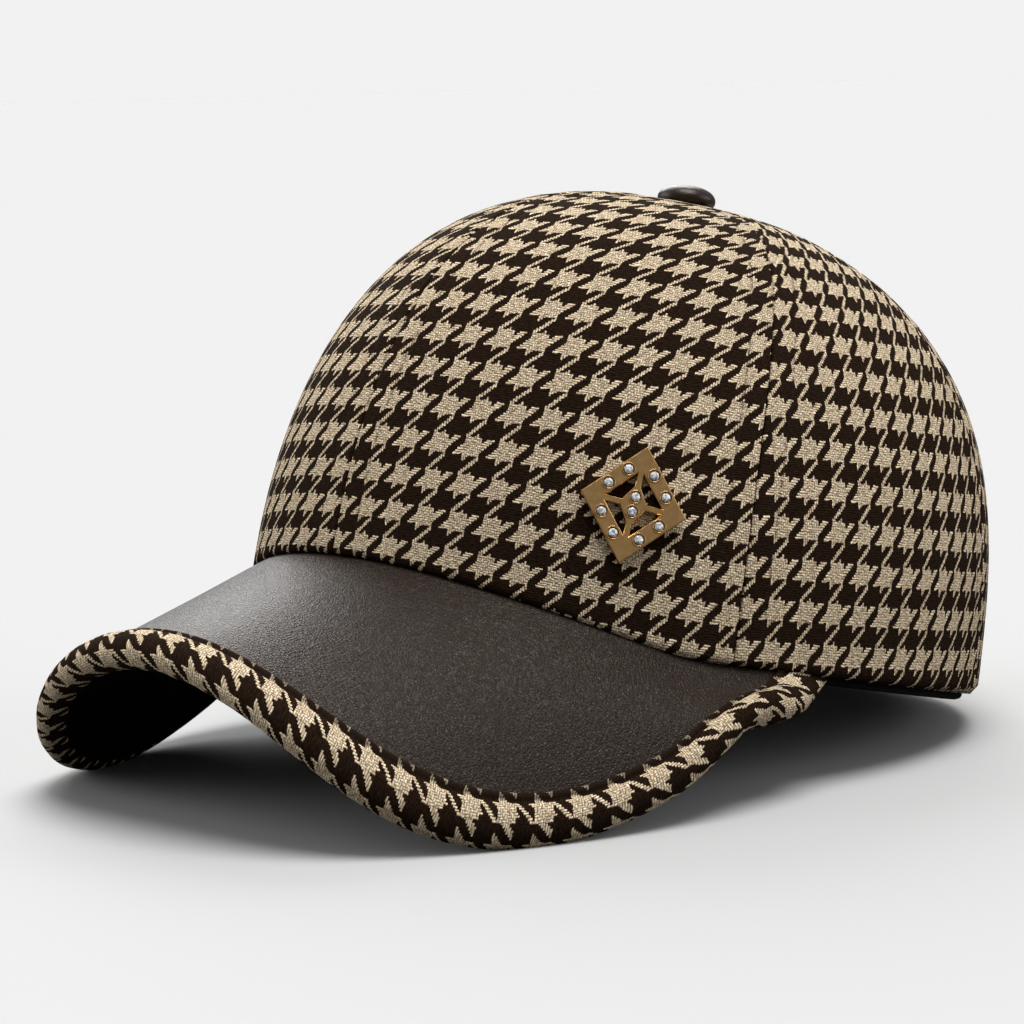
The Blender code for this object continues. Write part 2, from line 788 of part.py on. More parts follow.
def build():
    clear_scene()
    cap = make_collection("houndstooth_cap")
    cutters = make_collection("cutters")
    cloth = make_material("houndstooth_cloth", (0.30, 0.24, 0.17), 0.95)
    leather = make_material("peak_leather", (0.035, 0.022, 0.017), 0.42)
    lining = make_material("underside_cloth", (0.012, 0.010, 0.009), 0.9)
    black = make_material("sweatband_cloth", (0.008, 0.008, 0.008), 0.9)
    glossy = make_material("button_leather", (0.030, 0.018, 0.013), 0.25)
    gold = make_material("badge_gold", (0.72, 0.47, 0.18), 0.28, 1.0)
    crystal = make_material("crystal", (0.92, 0.92, 0.94), 0.02)

    make_panels(cap, cloth)
    band = make_band(cap, black)
    opening = make_opening_cutter(cutters)
    peak = make_peak_layer("peak", 0.0, BOARD, cap, leather)
    underside = make_peak_layer("peak_underside", BOARD + GAP, BOARD + GAP + LINING, cap, lining)
    binding = make_binding(cap, cloth)
    for thing in (peak, underside, binding):
        cut(thing, opening, "cut along the hem")
    make_button(cap, glossy)
    make_badge(cap, cutters, gold)
    make_crystals(cap, crystal)
    set_down(cap, cutters, binding, band)


build()
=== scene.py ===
# %% [markdown]
# # A houndstooth cap with a leather peak
#
# This lesson dresses a finished model. The frame holds the cap's solids at their real size, and each step
# below adds the cloth, leather or metal that the eye sees, then the light and the camera. Lengths are in
# metres, +Z is up, -Y is the front of the cap and +X is the wearer's left.

import math

import bmesh
import bpy
import numpy as np
from mathutils import Matrix, Vector


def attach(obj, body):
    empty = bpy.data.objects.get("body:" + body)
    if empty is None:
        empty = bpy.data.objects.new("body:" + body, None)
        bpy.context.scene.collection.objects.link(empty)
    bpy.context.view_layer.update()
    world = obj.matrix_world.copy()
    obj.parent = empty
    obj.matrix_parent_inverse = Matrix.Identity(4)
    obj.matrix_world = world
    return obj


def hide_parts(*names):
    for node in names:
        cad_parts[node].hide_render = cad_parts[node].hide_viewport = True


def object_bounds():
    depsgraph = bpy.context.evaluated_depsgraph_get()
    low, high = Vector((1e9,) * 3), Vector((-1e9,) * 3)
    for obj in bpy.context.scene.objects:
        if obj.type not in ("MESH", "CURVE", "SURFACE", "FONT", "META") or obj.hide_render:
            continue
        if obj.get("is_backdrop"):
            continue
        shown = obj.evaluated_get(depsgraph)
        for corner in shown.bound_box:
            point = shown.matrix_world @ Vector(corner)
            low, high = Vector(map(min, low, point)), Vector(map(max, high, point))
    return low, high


MM = 0.001

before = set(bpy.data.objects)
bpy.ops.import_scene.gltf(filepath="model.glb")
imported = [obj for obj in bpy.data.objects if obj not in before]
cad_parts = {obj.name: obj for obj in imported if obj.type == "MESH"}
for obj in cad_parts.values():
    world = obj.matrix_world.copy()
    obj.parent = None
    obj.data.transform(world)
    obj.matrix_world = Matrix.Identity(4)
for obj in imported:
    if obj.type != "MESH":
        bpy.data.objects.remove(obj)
frame_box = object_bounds()
print("frame:", len(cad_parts), "solids")

# %% [markdown]
# Operators act on whatever is selected, so a small helper clears the selection before each new piece, and
# another wears a modifier's result into the mesh. Working this way keeps every step as it would be by hand.


# %% Small helpers
MERGE_WITHIN = 0.002 * MM


def select_only(thing):
    bpy.ops.object.select_all(action="DESELECT")
    thing.select_set(True)
    bpy.context.view_layer.objects.active = thing


def apply_modifier(thing, kind, **settings):
    select_only(thing)
    modifier = thing.modifiers.new(kind.lower(), kind)
    for name, value in settings.items():
        setattr(modifier, name, value)
    bpy.ops.object.modifier_apply(modifier=modifier.name)


def edit(thing, *steps):
    """Runs edit-mode operators on the whole of a piece."""
    select_only(thing)
    bpy.ops.object.mode_set(mode="EDIT")
    bpy.ops.mesh.select_all(action="SELECT")
    for step in steps:
        step()
    bpy.ops.object.mode_set(mode="OBJECT")


def merge_and_face_out(thing):
    edit(
        thing,
        lambda: bpy.ops.mesh.remove_doubles(threshold=MERGE_WITHIN),
        lambda: bpy.ops.mesh.normals_make_consistent(inside=False),
    )


def print_size(thing):
    width, depth, height = thing.dimensions / MM
    print(f"{thing.name}: {width:.1f} x {depth:.1f} x {height:.1f} mm, {len(thing.data.polygons)} faces")


# %% [markdown]
# The camera comes first, because everything after it is judged through it. It stands off the wearer's
# front left, a little above the floor, and its long lens keeps the cap's far side from shrinking.

# %% Camera
CAMERA_AIM = Vector((0.0, -0.012064, 0.061099))
CAMERA_AZIMUTH = math.radians(46.39)
CAMERA_ELEVATION = math.radians(6.59)
CAMERA_ROLL = math.radians(-1.28)
CAMERA_DISTANCE = 0.86423
CAMERA_LENS = 124.04
EXTRA_LEAN = math.radians(0.41)

backwards = Vector((
    math.sin(CAMERA_AZIMUTH) * math.cos(CAMERA_ELEVATION),
    -math.cos(CAMERA_AZIMUTH) * math.cos(CAMERA_ELEVATION),
    math.sin(CAMERA_ELEVATION),
))
turn_back = Matrix.Rotation(-EXTRA_LEAN, 3, "X")
facing = turn_back @ backwards
bpy.ops.object.camera_add(location=CAMERA_AIM + facing * CAMERA_DISTANCE)
camera = bpy.context.object
camera.name = "camera"
right = Vector((0, 0, 1)).cross(backwards).normalized()
above = backwards.cross(right)
rolled_right = right * math.cos(CAMERA_ROLL) + above * math.sin(CAMERA_ROLL)
rolled_above = above * math.cos(CAMERA_ROLL) - right * math.sin(CAMERA_ROLL)
axes = Matrix((turn_back @ rolled_right, turn_back @ rolled_above, facing)).transposed()
camera.rotation_euler = axes.to_euler()
camera.data.lens = CAMERA_LENS
camera.data.sensor_width = 36
camera.data.clip_end = 400
bpy.context.scene.camera = camera
print("camera at", tuple(round(value, 3) for value in camera.location))

# %% [markdown]
# A cap's crown has no straight lines, so its surface is a formula: around the head it is close to an
# ellipse, and upwards it is a superellipse whose fullness changes from front to side to back. The formula
# is drawn with the hem level, and then leaned back and lifted, because the cap rests on its peak's lobes.

# %% The crown's shape
HEM_HALF_LENGTH = 99.5 * MM
HEM_HALF_WIDTH = 85.3 * MM
CROWN_HEIGHT = 113.7 * MM
APEX_BACK = 4.8 * MM
HEM_ARCH = 14.3 * MM
HEM_ARCH_END = math.radians(57.5)
ARCH_ROUNDING = 0.75 * MM
PANEL_TOP_REACH = 0.045
PROFILES = {"front": (2.95, 2.3), "side": (2.2, 2.32), "back": (1.85, 3.8)}
LEAN = math.radians(12.14)
REST_PLACE = np.array([0.0, 23.29 * MM, 22.45 * MM])


def set_down(points):
    """Leans level points back and lifts them to where the cap rests."""
    x, y, z = points[..., 0], points[..., 1], points[..., 2]
    leaned = np.stack(
        [x, y * math.cos(LEAN) + z * math.sin(LEAN), z * math.cos(LEAN) - y * math.sin(LEAN)], -1
    )
    return leaned + REST_PLACE


def profile_powers(turn):
    weights = {
        "front": np.maximum(np.cos(turn), 0) ** 2,
        "side": np.sin(turn) ** 2,
        "back": np.maximum(-np.cos(turn), 0) ** 2,
    }
    return [sum(weights[name] * PROFILES[name][index] for name in PROFILES) for index in (0, 1)]


def crown_points(turn, rise):
    reach_power, rise_power = profile_powers(turn)
    reach = np.maximum(np.cos(rise), 0) ** (2 / reach_power)
    height = np.maximum(np.sin(rise), 0) ** (2 / rise_power)
    x = HEM_HALF_WIDTH * np.sin(turn) * reach
    y = -HEM_HALF_LENGTH * np.cos(turn) * reach + APEX_BACK * (1 - reach)
    return np.stack([x, y, CROWN_HEIGHT * height], -1)


def crown_normals(turn, rise):
    step = 0.002
    low = np.maximum(rise - step, 0)
    around = crown_points(turn + step, rise) - crown_points(turn - step, rise)
    up = crown_points(turn, low + 2 * step) - crown_points(turn, low)
    normal = np.cross(around, up)
    return normal / np.linalg.norm(normal, axis=-1, keepdims=True)


def rise_at_height(turn, height):
    return np.arcsin((np.maximum(height, 0) / CROWN_HEIGHT) ** (profile_powers(turn)[1] / 2))


def hem_height(turn):
    """Level at the sides and back, arched over the peak at the front, with the change rounded."""
    turn = np.abs((np.asarray(turn) + math.pi) % (2 * math.pi) - math.pi)
    arch = HEM_ARCH * np.cos(np.minimum(turn / HEM_ARCH_END, 2) * math.pi / 2)
    rounded = arch / 2 + np.hypot(arch / 2, ARCH_ROUNDING)
    return np.where(turn >= 2 * HEM_ARCH_END, 0.0, rounded)


def lengths_along(points, axis):
    """The running length along one axis of a grid of points."""
    steps = np.linalg.norm(np.diff(points, axis=axis), axis=-1)
    start = np.zeros_like(np.take(steps, [0], axis=axis))
    return np.concatenate([start, np.cumsum(steps, axis=axis)], axis=axis)


# %% [markdown]
# Every curved sheet starts as a flat grid, as cloth does. One helper adds the grid, moves its points onto
# the surface and writes the UV maps in metres, so that a woven pattern keeps its real size on any panel.


# %% From a flat grid to a curved sheet
def write_uv(thing, name, values):
    layer = thing.data.uv_layers.get(name) or thing.data.uv_layers.new(name=name)
    corners = np.empty(len(thing.data.loops), dtype=np.int32)
    thing.data.loops.foreach_get("vertex_index", corners)
    layer.data.foreach_set("uv", values.reshape(-1, 2)[corners].ravel())


def add_sheet(name, points, **uv_maps):
    """points is rows by columns by three. Seen with the columns to the right and rows up, it faces you."""
    rows, columns = points.shape[:2]
    bpy.ops.object.select_all(action="DESELECT")
    bpy.ops.mesh.primitive_grid_add(x_subdivisions=columns - 1, y_subdivisions=rows - 1, size=1)
    sheet = bpy.context.object
    sheet.name = name
    sheet.data.name = name
    sheet.data.vertices.foreach_set("co", points.reshape(-1))
    sheet.data.update()
    for uv_name, values in uv_maps.items():
        write_uv(sheet, uv_name, values)
    return sheet


# %% [markdown]
# Cloth, leather and metal are drawn by shader nodes, dozens of them. Most of these helpers add one node,
# join its inputs and hand back its output, so that a finish reads as a few lines of arithmetic.


# %% Node helpers
def new_group(name, inputs, outputs):
    group = bpy.data.node_groups.new(name, "ShaderNodeTree")
    for label, kind, value in inputs:
        socket = group.interface.new_socket(name=label, in_out="INPUT", socket_type=kind)
        if value is not None:
            socket.default_value = value
    for label, kind in outputs:
        group.interface.new_socket(name=label, in_out="OUTPUT", socket_type=kind)
    return group, group.nodes.new("NodeGroupInput"), group.nodes.new("NodeGroupOutput")


def connect(tree, socket, value):
    if isinstance(value, bpy.types.NodeSocket):
        tree.links.new(value, socket)
    else:
        socket.default_value = value


def calculate(tree, operation, *values, kind="ShaderNodeMath"):
    node = tree.nodes.new(kind)
    node.operation = operation
    for socket, value in zip(node.inputs, values):
        connect(tree, socket, value)
    return node.outputs[0]


def calculate_vector(tree, operation, *values):
    return calculate(tree, operation, *values, kind="ShaderNodeVectorMath")


def split_axes(tree, vector):
    node = tree.nodes.new("ShaderNodeSeparateXYZ")
    connect(tree, node.inputs[0], vector)
    return tuple(node.outputs)


def blend_values(tree, share, first, second):
    """first where share is 0, second where it is 1."""
    node = tree.nodes.new("ShaderNodeMix")
    for index, value in ((0, share), (2, first), (3, second)):
        connect(tree, node.inputs[index], value)
    return node.outputs[0]


def blend_colours(tree, share, first, second):
    node = tree.nodes.new("ShaderNodeMix")
    node.data_type = "RGBA"
    for index, value in ((0, share), (6, first), (7, second)):
        connect(tree, node.inputs[index], value)
    return node.outputs[2]


def noise(tree, vector, scale, detail=2.0, roughness=0.5, kind="Fac"):
    node = tree.nodes.new("ShaderNodeTexNoise")
    connect(tree, node.inputs["Vector"], vector)
    node.inputs["Scale"].default_value = scale
    node.inputs["Detail"].default_value = detail
    node.inputs["Roughness"].default_value = roughness
    return node.outputs[kind]


def ramp(tree, value, low, high, to_low=0.0, to_high=1.0, kind="SMOOTHSTEP"):
    node = tree.nodes.new("ShaderNodeMapRange")
    node.interpolation_type = kind
    for socket, item in zip(node.inputs, (value, low, high, to_low, to_high)):
        connect(tree, socket, item)
    return node.outputs[0]


# %% [markdown]
# Houndstooth is a weave before it is a pattern. Pale and dark threads take turns, both up and across, and
# each thread floats over two others, one step along at every row. Where pale meets pale there is a star's
# body, and those steps are its relief. On a loom the same steps make its tails too. Here each tail has a
# rule of its own, still drawn thread by thread, because that comes closer to the photographed cloth.

# %% The houndstooth weave, as a node group
THREADS_IN_REPEAT = 16
STAR_UNITS = 8  # the star is drawn on eight units each way: four pale, then four dark
ROPE = {"middle": -3.85, "half_width": 0.52}
FINGERS_BELOW = -6.5
SPIKES = {"above": -2.0, "left_of": 3}
ARM = {"middle": 2.2, "half_width": 0.85}
LEFT_ARM = {"above": 5.5, "notch": 6.6, "notch_slope": -4}
THREAD_DRIFT = [
    {"waves_per_thread": 0.3, "threads": 1.1},
    {"waves_per_thread": 1.1, "threads": 0.7},
    {"waves_per_thread": 3.2, "threads": 0.5},
]
FLECKS = {"lean": math.radians(24), "stretch": (0.5, 1.25, 1), "per_thread": 0.9, "height": 0.9}
DIP = {"sharpness": 2.6, "lowest": 0.2}  # a thread along its length, where it goes under the next
ROUNDNESS = 2.2  # and across it
DARK_RELIEF = 0.35  # the dark threads look flatter than the pale ones
HOLLOW_SHADE = {"elsewhere": 0.22, "in_body": 0.36}
# the pale where the flecks lie low: a deeper tan, partly the yarn's own colour and partly painted shade
TAN_AND_SHADED_PALE = (0.62, 0.43, 0.24, 1)


def make_weave_group():
    group, source, result = new_group(
        "houndstooth_weave",
        [
            ("Cloth", "NodeSocketVector", None),
            ("Pale", "NodeSocketColor", None),
            ("Dark", "NodeSocketColor", None),
        ],
        [("Colour", "NodeSocketColor"), ("Height", "NodeSocketFloat")],
    )
    cloth = source.outputs["Cloth"]

    def math_node(operation, *values):
        return calculate(group, operation, *values)

    def both(first, second):
        return math_node("MULTIPLY", first, second)

    def either(first, second):
        return math_node("MAXIMUM", first, second)

    def near(value, middle, half_width):
        distance = math_node("ABSOLUTE", math_node("SUBTRACT", value, middle))
        return math_node("LESS_THAN", distance, half_width)

    # Wool threads aren't straight: a slow drift bends them, and a fine one frays the edges of the stars.
    moved = cloth
    for drift in THREAD_DRIFT:
        wander = noise(group, cloth, drift["waves_per_thread"], 2, 0.55, "Color")
        amount = drift["threads"]
        centred = (-amount / 2, -amount / 2, 0)
        shift = calculate_vector(group, "MULTIPLY_ADD", wander, (amount, amount, 0), centred)
        moved = calculate_vector(group, "ADD", moved, shift)
    x, y = split_axes(group, moved)[:2]

    # Where pale meets pale, threads go over two and under two, one step along at every row.
    upright = math_node("FLOOR", x)
    level = math_node("FLOOR", y)
    upright_float = math_node("FLOORED_MODULO", math_node("ADD", math_node("SUBTRACT", upright, y), 1), 4)
    level_float = math_node("FLOORED_MODULO", math_node("SUBTRACT", math_node("SUBTRACT", x, level), 2), 4)
    upright_in_body = math_node("LESS_THAN", upright_float, 2)

    # Above the star's body stand a rope to the next star and some spikes, and beside it two arms.
    per_unit = THREADS_IN_REPEAT / STAR_UNITS

    def in_star(value):
        return math_node("FLOORED_MODULO", math_node("DIVIDE", value, per_unit), STAR_UNITS)

    star_x, star_y = in_star(x), in_star(y)
    thread_x = in_star(math_node("ADD", upright, 0.5))
    thread_y = in_star(math_node("ADD", level, 0.5))
    pale_upright = math_node("LESS_THAN", star_x, STAR_UNITS / 2)
    pale_level = math_node("LESS_THAN", star_y, STAR_UNITS / 2)
    climb = math_node("SUBTRACT", thread_x, star_y)
    rope = near(climb, ROPE["middle"], ROPE["half_width"])
    in_spikes = math_node("LESS_THAN", thread_x, SPIKES["left_of"])
    spikes = both(math_node("GREATER_THAN", climb, SPIKES["above"]), in_spikes)
    above_body = either(rope, either(spikes, math_node("LESS_THAN", climb, FINGERS_BELOW)))
    reach = math_node("SUBTRACT", star_x, thread_y)
    arm = near(reach, ARM["middle"], ARM["half_width"])
    notch = math_node("MULTIPLY_ADD", star_y, LEFT_ARM["notch_slope"], star_x)
    left_arm = both(
        math_node("GREATER_THAN", reach, LEFT_ARM["above"]), math_node("LESS_THAN", notch, LEFT_ARM["notch"])
    )
    beside_body = either(arm, left_arm)
    pale = blend_values(
        group, pale_upright, both(pale_level, beside_body), either(pale_level, above_body)
    )

    # Each thread is round, and dips where it goes under the next.
    upright_on_top = blend_values(group, pale_level, pale_upright, both(pale_upright, upright_in_body))
    across = blend_values(group, upright_on_top, math_node("FRACT", y), math_node("FRACT", x))
    along = math_node("DIVIDE", blend_values(group, upright_on_top, level_float, upright_float), 2)
    in_body = both(pale_upright, pale_level)

    def hump(value, sharpness):
        from_middle = math_node("ABSOLUTE", math_node("MULTIPLY_ADD", value, 2, -1))
        return math_node("SUBTRACT", 1, math_node("POWER", from_middle, sharpness))

    dip = ramp(group, hump(along, DIP["sharpness"]), 0, 1, DIP["lowest"], 1)
    relief = both(hump(across, ROUNDNESS), blend_values(group, in_body, 1.0, dip))

    # Flecks of looser fibre lie askew over the threads and lift it, with painted light and shade that follow
    # them.
    stretched = group.nodes.new("ShaderNodeMapping")
    stretched.inputs["Rotation"].default_value = (0, 0, FLECKS["lean"])
    stretched.inputs["Scale"].default_value = FLECKS["stretch"]
    group.links.new(cloth, stretched.inputs[0])
    flecks = noise(group, stretched.outputs[0], FLECKS["per_thread"], 3, 0.6)
    thread_height = both(relief, ramp(group, pale, 0, 1, DARK_RELIEF, 1))
    height = math_node("MULTIPLY_ADD", flecks, FLECKS["height"], thread_height)
    group.links.new(height, result.inputs["Height"])

    # Painted shade: the colour darkens in the hollows where the threads round off and dip under.
    deepest = blend_values(group, in_body, HOLLOW_SHADE["elsewhere"], HOLLOW_SHADE["in_body"])
    hollow_shade = ramp(group, relief, 0, 0.8, deepest, 1.0)
    fleck_light_and_shade = ramp(group, flecks, 0.34, 0.66, 0.52, 1.4, "LINEAR")
    shade = both(hollow_shade, fleck_light_and_shade)
    # Where the flecks lie low the pale turns a deeper tan, partly the yarn's own colour and partly painted
    # shade.
    tan_and_shade_here = ramp(group, flecks, 0.3, 0.6, 0.8, 0)
    tan_and_shaded = blend_colours(group, tan_and_shade_here, source.outputs["Pale"], TAN_AND_SHADED_PALE)
    colour = blend_colours(group, pale, source.outputs["Dark"], tan_and_shaded)
    scaled = group.nodes.new("ShaderNodeVectorMath")
    scaled.operation = "SCALE"
    group.links.new(colour, scaled.inputs[0])
    group.links.new(shade, scaled.inputs["Scale"])
    group.links.new(scaled.outputs[0], result.inputs["Colour"])
    return group


weave_group = make_weave_group()
print("weave group:", len(weave_group.nodes), "nodes")


# %% [markdown]
# The crown's wool has one more mark on it: a row of machine stitches runs down each side of every seam.
# A second UV map holds the distance from the seam and the length along it, so the material can draw the
# stitches as short dark dashes pressed into the cloth.


# %% The houndstooth wool material
CROWN_REPEAT = (8.35 * MM, 9.7 * MM)
ROLL_REPEAT = (8.8 * MM, 10.8 * MM)  # stretched round the edge
WOOL_PALE = (0.74, 0.61, 0.435, 1)
WOOL_DARK = (0.019, 0.0102, 0.0056, 1)
WOOL_RELIEF = 0.22 * MM
STITCH_FROM_SEAM = 6.4 * MM
STITCH_LENGTH = 3.0 * MM
STITCH_COLOUR = (0.02, 0.013, 0.009, 1)
STITCH_STRENGTH = {"colour": 0.55, "dent": 0.5}
STITCH_LINE = (0.15 * MM, 0.5 * MM)  # off the row's middle: full up to here, gone from there
STITCH_DASH = (0.3, 0.42)  # the same off a stitch's middle, as a share of its length
# Painted shade along the roll's stitched ridge.
RIDGE_SHADE_COLOUR = (0.016, 0.0095, 0.006, 1)
RIDGE_SHADE_STRENGTH = 0.65
RIDGE_FADE = (0.5 * MM, 0.3 * MM)  # its shade fades out from this far before its end to this far past it
LINING_COLOUR = (0.009, 0.006, 0.0045, 1)
LINING_FADE = 0.3 * MM


def new_material(name, roughness, **sockets):
    material = bpy.data.materials.new(name)
    material.use_nodes = True
    shader = material.node_tree.nodes["Principled BSDF"]
    shader.inputs["Roughness"].default_value = roughness
    for label, value in sockets.items():
        shader.inputs[label.replace("_", " ")].default_value = value
    return material, material.node_tree, shader


def add_bump(tree, shader, height, distance):
    bump = tree.nodes.new("ShaderNodeBump")
    bump.inputs["Distance"].default_value = distance
    bump.inputs["Strength"].default_value = 1.0
    connect(tree, bump.inputs["Height"], height)
    tree.links.new(bump.outputs[0], shader.inputs["Normal"])


def make_wool(name, repeat, offset, stitched=False, ridge=None, lined_from=None):
    material, tree, shader = new_material(name, 0.95, Specular_IOR_Level=0.03)
    uv = tree.nodes.new("ShaderNodeUVMap")
    uv.uv_map = "cloth"
    mapping = tree.nodes.new("ShaderNodeMapping")
    mapping.inputs["Location"].default_value = (offset[0], offset[1], 0)
    tree.links.new(uv.outputs[0], mapping.inputs[0])
    threads_per_metre = (THREADS_IN_REPEAT / repeat[0], THREADS_IN_REPEAT / repeat[1], 1)
    in_threads = calculate_vector(tree, "MULTIPLY", mapping.outputs[0], threads_per_metre)
    weave = tree.nodes.new("ShaderNodeGroup")
    weave.node_tree = weave_group
    tree.links.new(in_threads, weave.inputs["Cloth"])
    weave.inputs["Pale"].default_value = WOOL_PALE
    weave.inputs["Dark"].default_value = WOOL_DARK
    colour, height = weave.outputs["Colour"], weave.outputs["Height"]
    if stitched:
        seams = tree.nodes.new("ShaderNodeUVMap")
        seams.uv_map = "seams"
        from_seam, along_seam = split_axes(tree, seams.outputs[0])[:2]
        off_line = calculate(tree, "ABSOLUTE", calculate(tree, "SUBTRACT", from_seam, STITCH_FROM_SEAM))
        line = ramp(tree, off_line, *STITCH_LINE, 1, 0)
        place = calculate(tree, "FRACT", calculate(tree, "DIVIDE", along_seam, STITCH_LENGTH))
        off_middle = calculate(tree, "ABSOLUTE", calculate(tree, "SUBTRACT", place, 0.5))
        stitch = calculate(tree, "MULTIPLY", line, ramp(tree, off_middle, *STITCH_DASH, 1, 0))
        darkened = calculate(tree, "MULTIPLY", stitch, STITCH_STRENGTH["colour"])
        colour = blend_colours(tree, darkened, colour, STITCH_COLOUR)
        dented = calculate(tree, "MULTIPLY", line, STITCH_STRENGTH["dent"])
        height = calculate(tree, "SUBTRACT", height, dented)
    if ridge is not None:
        # Painted shade darkens the roll along its ridge beside the leather.
        down = split_axes(tree, uv.outputs[0])[0]
        in_shade = ramp(tree, down, ridge - RIDGE_FADE[0], ridge + RIDGE_FADE[1], RIDGE_SHADE_STRENGTH, 0)
        colour = blend_colours(tree, in_shade, colour, RIDGE_SHADE_COLOUR)
        lined = ramp(tree, down, lined_from, lined_from + LINING_FADE)
        colour = blend_colours(tree, lined, colour, LINING_COLOUR)
    tree.links.new(colour, shader.inputs["Base Color"])
    add_bump(tree, shader, height, WOOL_RELIEF)
    return material


# %% [markdown]
# Six panels make the crown. Each is a flat grid bent to the crown's formula. Its long edges are turned in
# where it is sewn to the next, the spare cloth behind the seam lifts it a little as far as the stitches,
# and its lower edge is folded under. A Solidify modifier then gives the cloth its thickness.

# %% Crown panels
SEAMS = {"front": (0, 0), "side_front": (65.5, 87), "side_back": (123, 130), "back": (180, 180)}
PANEL_SEAMS = {
    "front": ("front", "side_front"),
    "side": ("side_front", "side_back"),
    "back": ("side_back", "back"),
}
PANEL_COLUMNS = 100
PANEL_ROWS = 96
COLUMNS_TO_SEAMS = 0.6  # how much the grid's columns crowd towards the seams, 0 for not at all
ROWS_TO_HEM = 1.35  # and its rows towards the hem, 1 for not at all
CLOTH_THICKNESS = 1.8 * MM
SEAM_ROLL = 0.9 * MM
HEM_ROLL = 1.7 * MM
ALLOWANCE_LIFT = 0.22 * MM
ALLOWANCE_EDGE = (5.6 * MM, 8.5 * MM)  # the spare cloth behind the seam ends between these
ARCH_FOLLOWED = 0.5  # at the hem the rows of stars follow half of its arch over the peak
ARCH_FADE = 35 * MM  # and further up they run level
SIDE_TILT = 0.05  # on the side panels they climb a little towards the back
STITCH_PRESS = 0.2 * MM
STITCH_GROOVE = 0.7 * MM
PUCKER = {"height": 0.10 * MM, "wave": 3.4 * MM, "from_seam": 4.5 * MM, "spread": 3.2 * MM}
PUCKER_SWAY = {"amount": 1.7, "wave": 9 * MM}  # so the puckers aren't evenly spaced


def smooth_step(value, low, high):
    share = np.clip((value - low) / (high - low), 0, 1)
    return share * share * (3 - 2 * share)


def roll_in(distance, radius):
    """How far a rounded edge has turned in at this distance from it."""
    left = np.clip(radius - distance, 0, radius)
    return radius - np.sqrt(np.maximum(radius**2 - left**2, 0))


def make_panel(which, side):
    first_name, second_name = PANEL_SEAMS[which]
    share = np.linspace(0, 1, PANEL_COLUMNS + 1)
    across = share - COLUMNS_TO_SEAMS * np.sin(2 * math.pi * share) / (2 * math.pi)
    climb = np.linspace(0, 1, PANEL_ROWS + 1) ** ROWS_TO_HEM
    across, climb = np.meshgrid(across, climb)
    edges = []
    for seam in (first_name, second_name):
        at_hem, at_top = SEAMS[seam]
        edges.append(np.radians(at_hem + (at_top - at_hem) * climb**2) * side)
    if side < 0:
        edges.reverse()
    turn = edges[0] + (edges[1] - edges[0]) * across
    hem_rise = rise_at_height(turn, hem_height(turn))
    top_rise = np.arccos(PANEL_TOP_REACH ** (profile_powers(turn)[0] / 2))
    rise = hem_rise + (top_rise - hem_rise) * climb

    surface = crown_points(turn, rise)
    around = lengths_along(surface, 1)
    up = lengths_along(surface, 0)
    to_edge = np.minimum(around, around[:, -1:] - around)
    from_middle = around - around[:, [(PANEL_COLUMNS + 1) // 2]]
    above_hem_plane = up + hem_height(turn) * (1 - ARCH_FOLLOWED * np.exp(-up / ARCH_FADE))
    if which == "side":
        above_hem_plane -= SIDE_TILT * side * from_middle
    cloth_uv = np.stack([from_middle, above_hem_plane], -1)
    seam_uv = np.stack([to_edge, up], -1)

    lift = ALLOWANCE_LIFT * (1 - smooth_step(to_edge, *ALLOWANCE_EDGE))
    press = STITCH_PRESS * np.exp(-(((to_edge - STITCH_FROM_SEAM) / STITCH_GROOVE) ** 2))
    sway = PUCKER_SWAY["amount"] * np.sin(up / PUCKER_SWAY["wave"] + side)
    beside_seam = np.exp(-(((to_edge - PUCKER["from_seam"]) / PUCKER["spread"]) ** 2))
    pucker = PUCKER["height"] * np.sin(up / PUCKER["wave"] + sway) * beside_seam
    turned_in = roll_in(to_edge, SEAM_ROLL) + roll_in(up, HEM_ROLL)
    offset = lift - press + pucker - turned_in
    points = surface + crown_normals(turn, rise) * offset[..., None]

    side_name = "left" if side > 0 else "right"
    panel = add_sheet(f"cloth_{which}_{side_name}", set_down(points), cloth=cloth_uv, seams=seam_uv)
    apply_modifier(panel, "SOLIDIFY", thickness=CLOTH_THICKNESS, offset=-1)
    bpy.ops.object.shade_smooth()
    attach(panel, "root")
    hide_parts(f"crown_panel_{which}_{side_name}")
    print_size(panel)
    return panel


PANEL_OFFSETS = {
    "front_left": (1.2 * MM, 0.8 * MM),
    "front_right": (-2.0 * MM, 0.8 * MM),
    "side_left": (0.6 * MM, 5.8 * MM),
    "side_right": (3.1 * MM, 5.8 * MM),
    "back_left": (-1.7 * MM, 0.8 * MM),
    "back_right": (2.3 * MM, 0.8 * MM),
}
for which in PANEL_SEAMS:
    for side, side_name in ((1, "left"), (-1, "right")):
        panel = make_panel(which, side)
        offset = PANEL_OFFSETS[f"{which}_{side_name}"]
        wool = make_wool(f"wool_{which}_{side_name}", CROWN_REPEAT, offset, stitched=True)
        panel.data.materials.append(wool)

# %% [markdown]
# The peak is cut flat and bent twice: over a cone that is tighter towards the front, and down to the hem
# where it is sewn. The same bend carries the leather and the padded roll at its edge, so it is written
# once, for arrays of points on the flat pattern: how far across from the middle, and how far forward.

# %% The peak's bend
PEAK_LENGTH = 60 * MM
PEAK_HALF_SPREAD = 113 * MM
PEAK_WIDEST_AT = -40 * MM
TAIL_INWARDS = 60 * MM
TAIL_BACKWARDS = 100 * MM
TAIL_POWER = 1.4  # 2 would be an ellipse, and less is flatter
PEAK_SLOPE = math.radians(26.5)
BEND_RADIUS = 81 * MM
BEND_TIGHTENING = 0.37
PEAK_JOIN_HEIGHT = 13.5 * MM
HEM_OVER_PEAK = 0.8 * MM
CORNER_DROP = 1.2 * MM
CORNER_DIP = (math.radians(50), math.radians(66))
JOIN_FADE = 24 * MM
JOIN_END = 86  # the sewn line ends this many degrees round from the front
JOIN_POINTS = 121
BOARD = 2.5 * MM
LINING = 0.8 * MM
GAP = 0.3 * MM


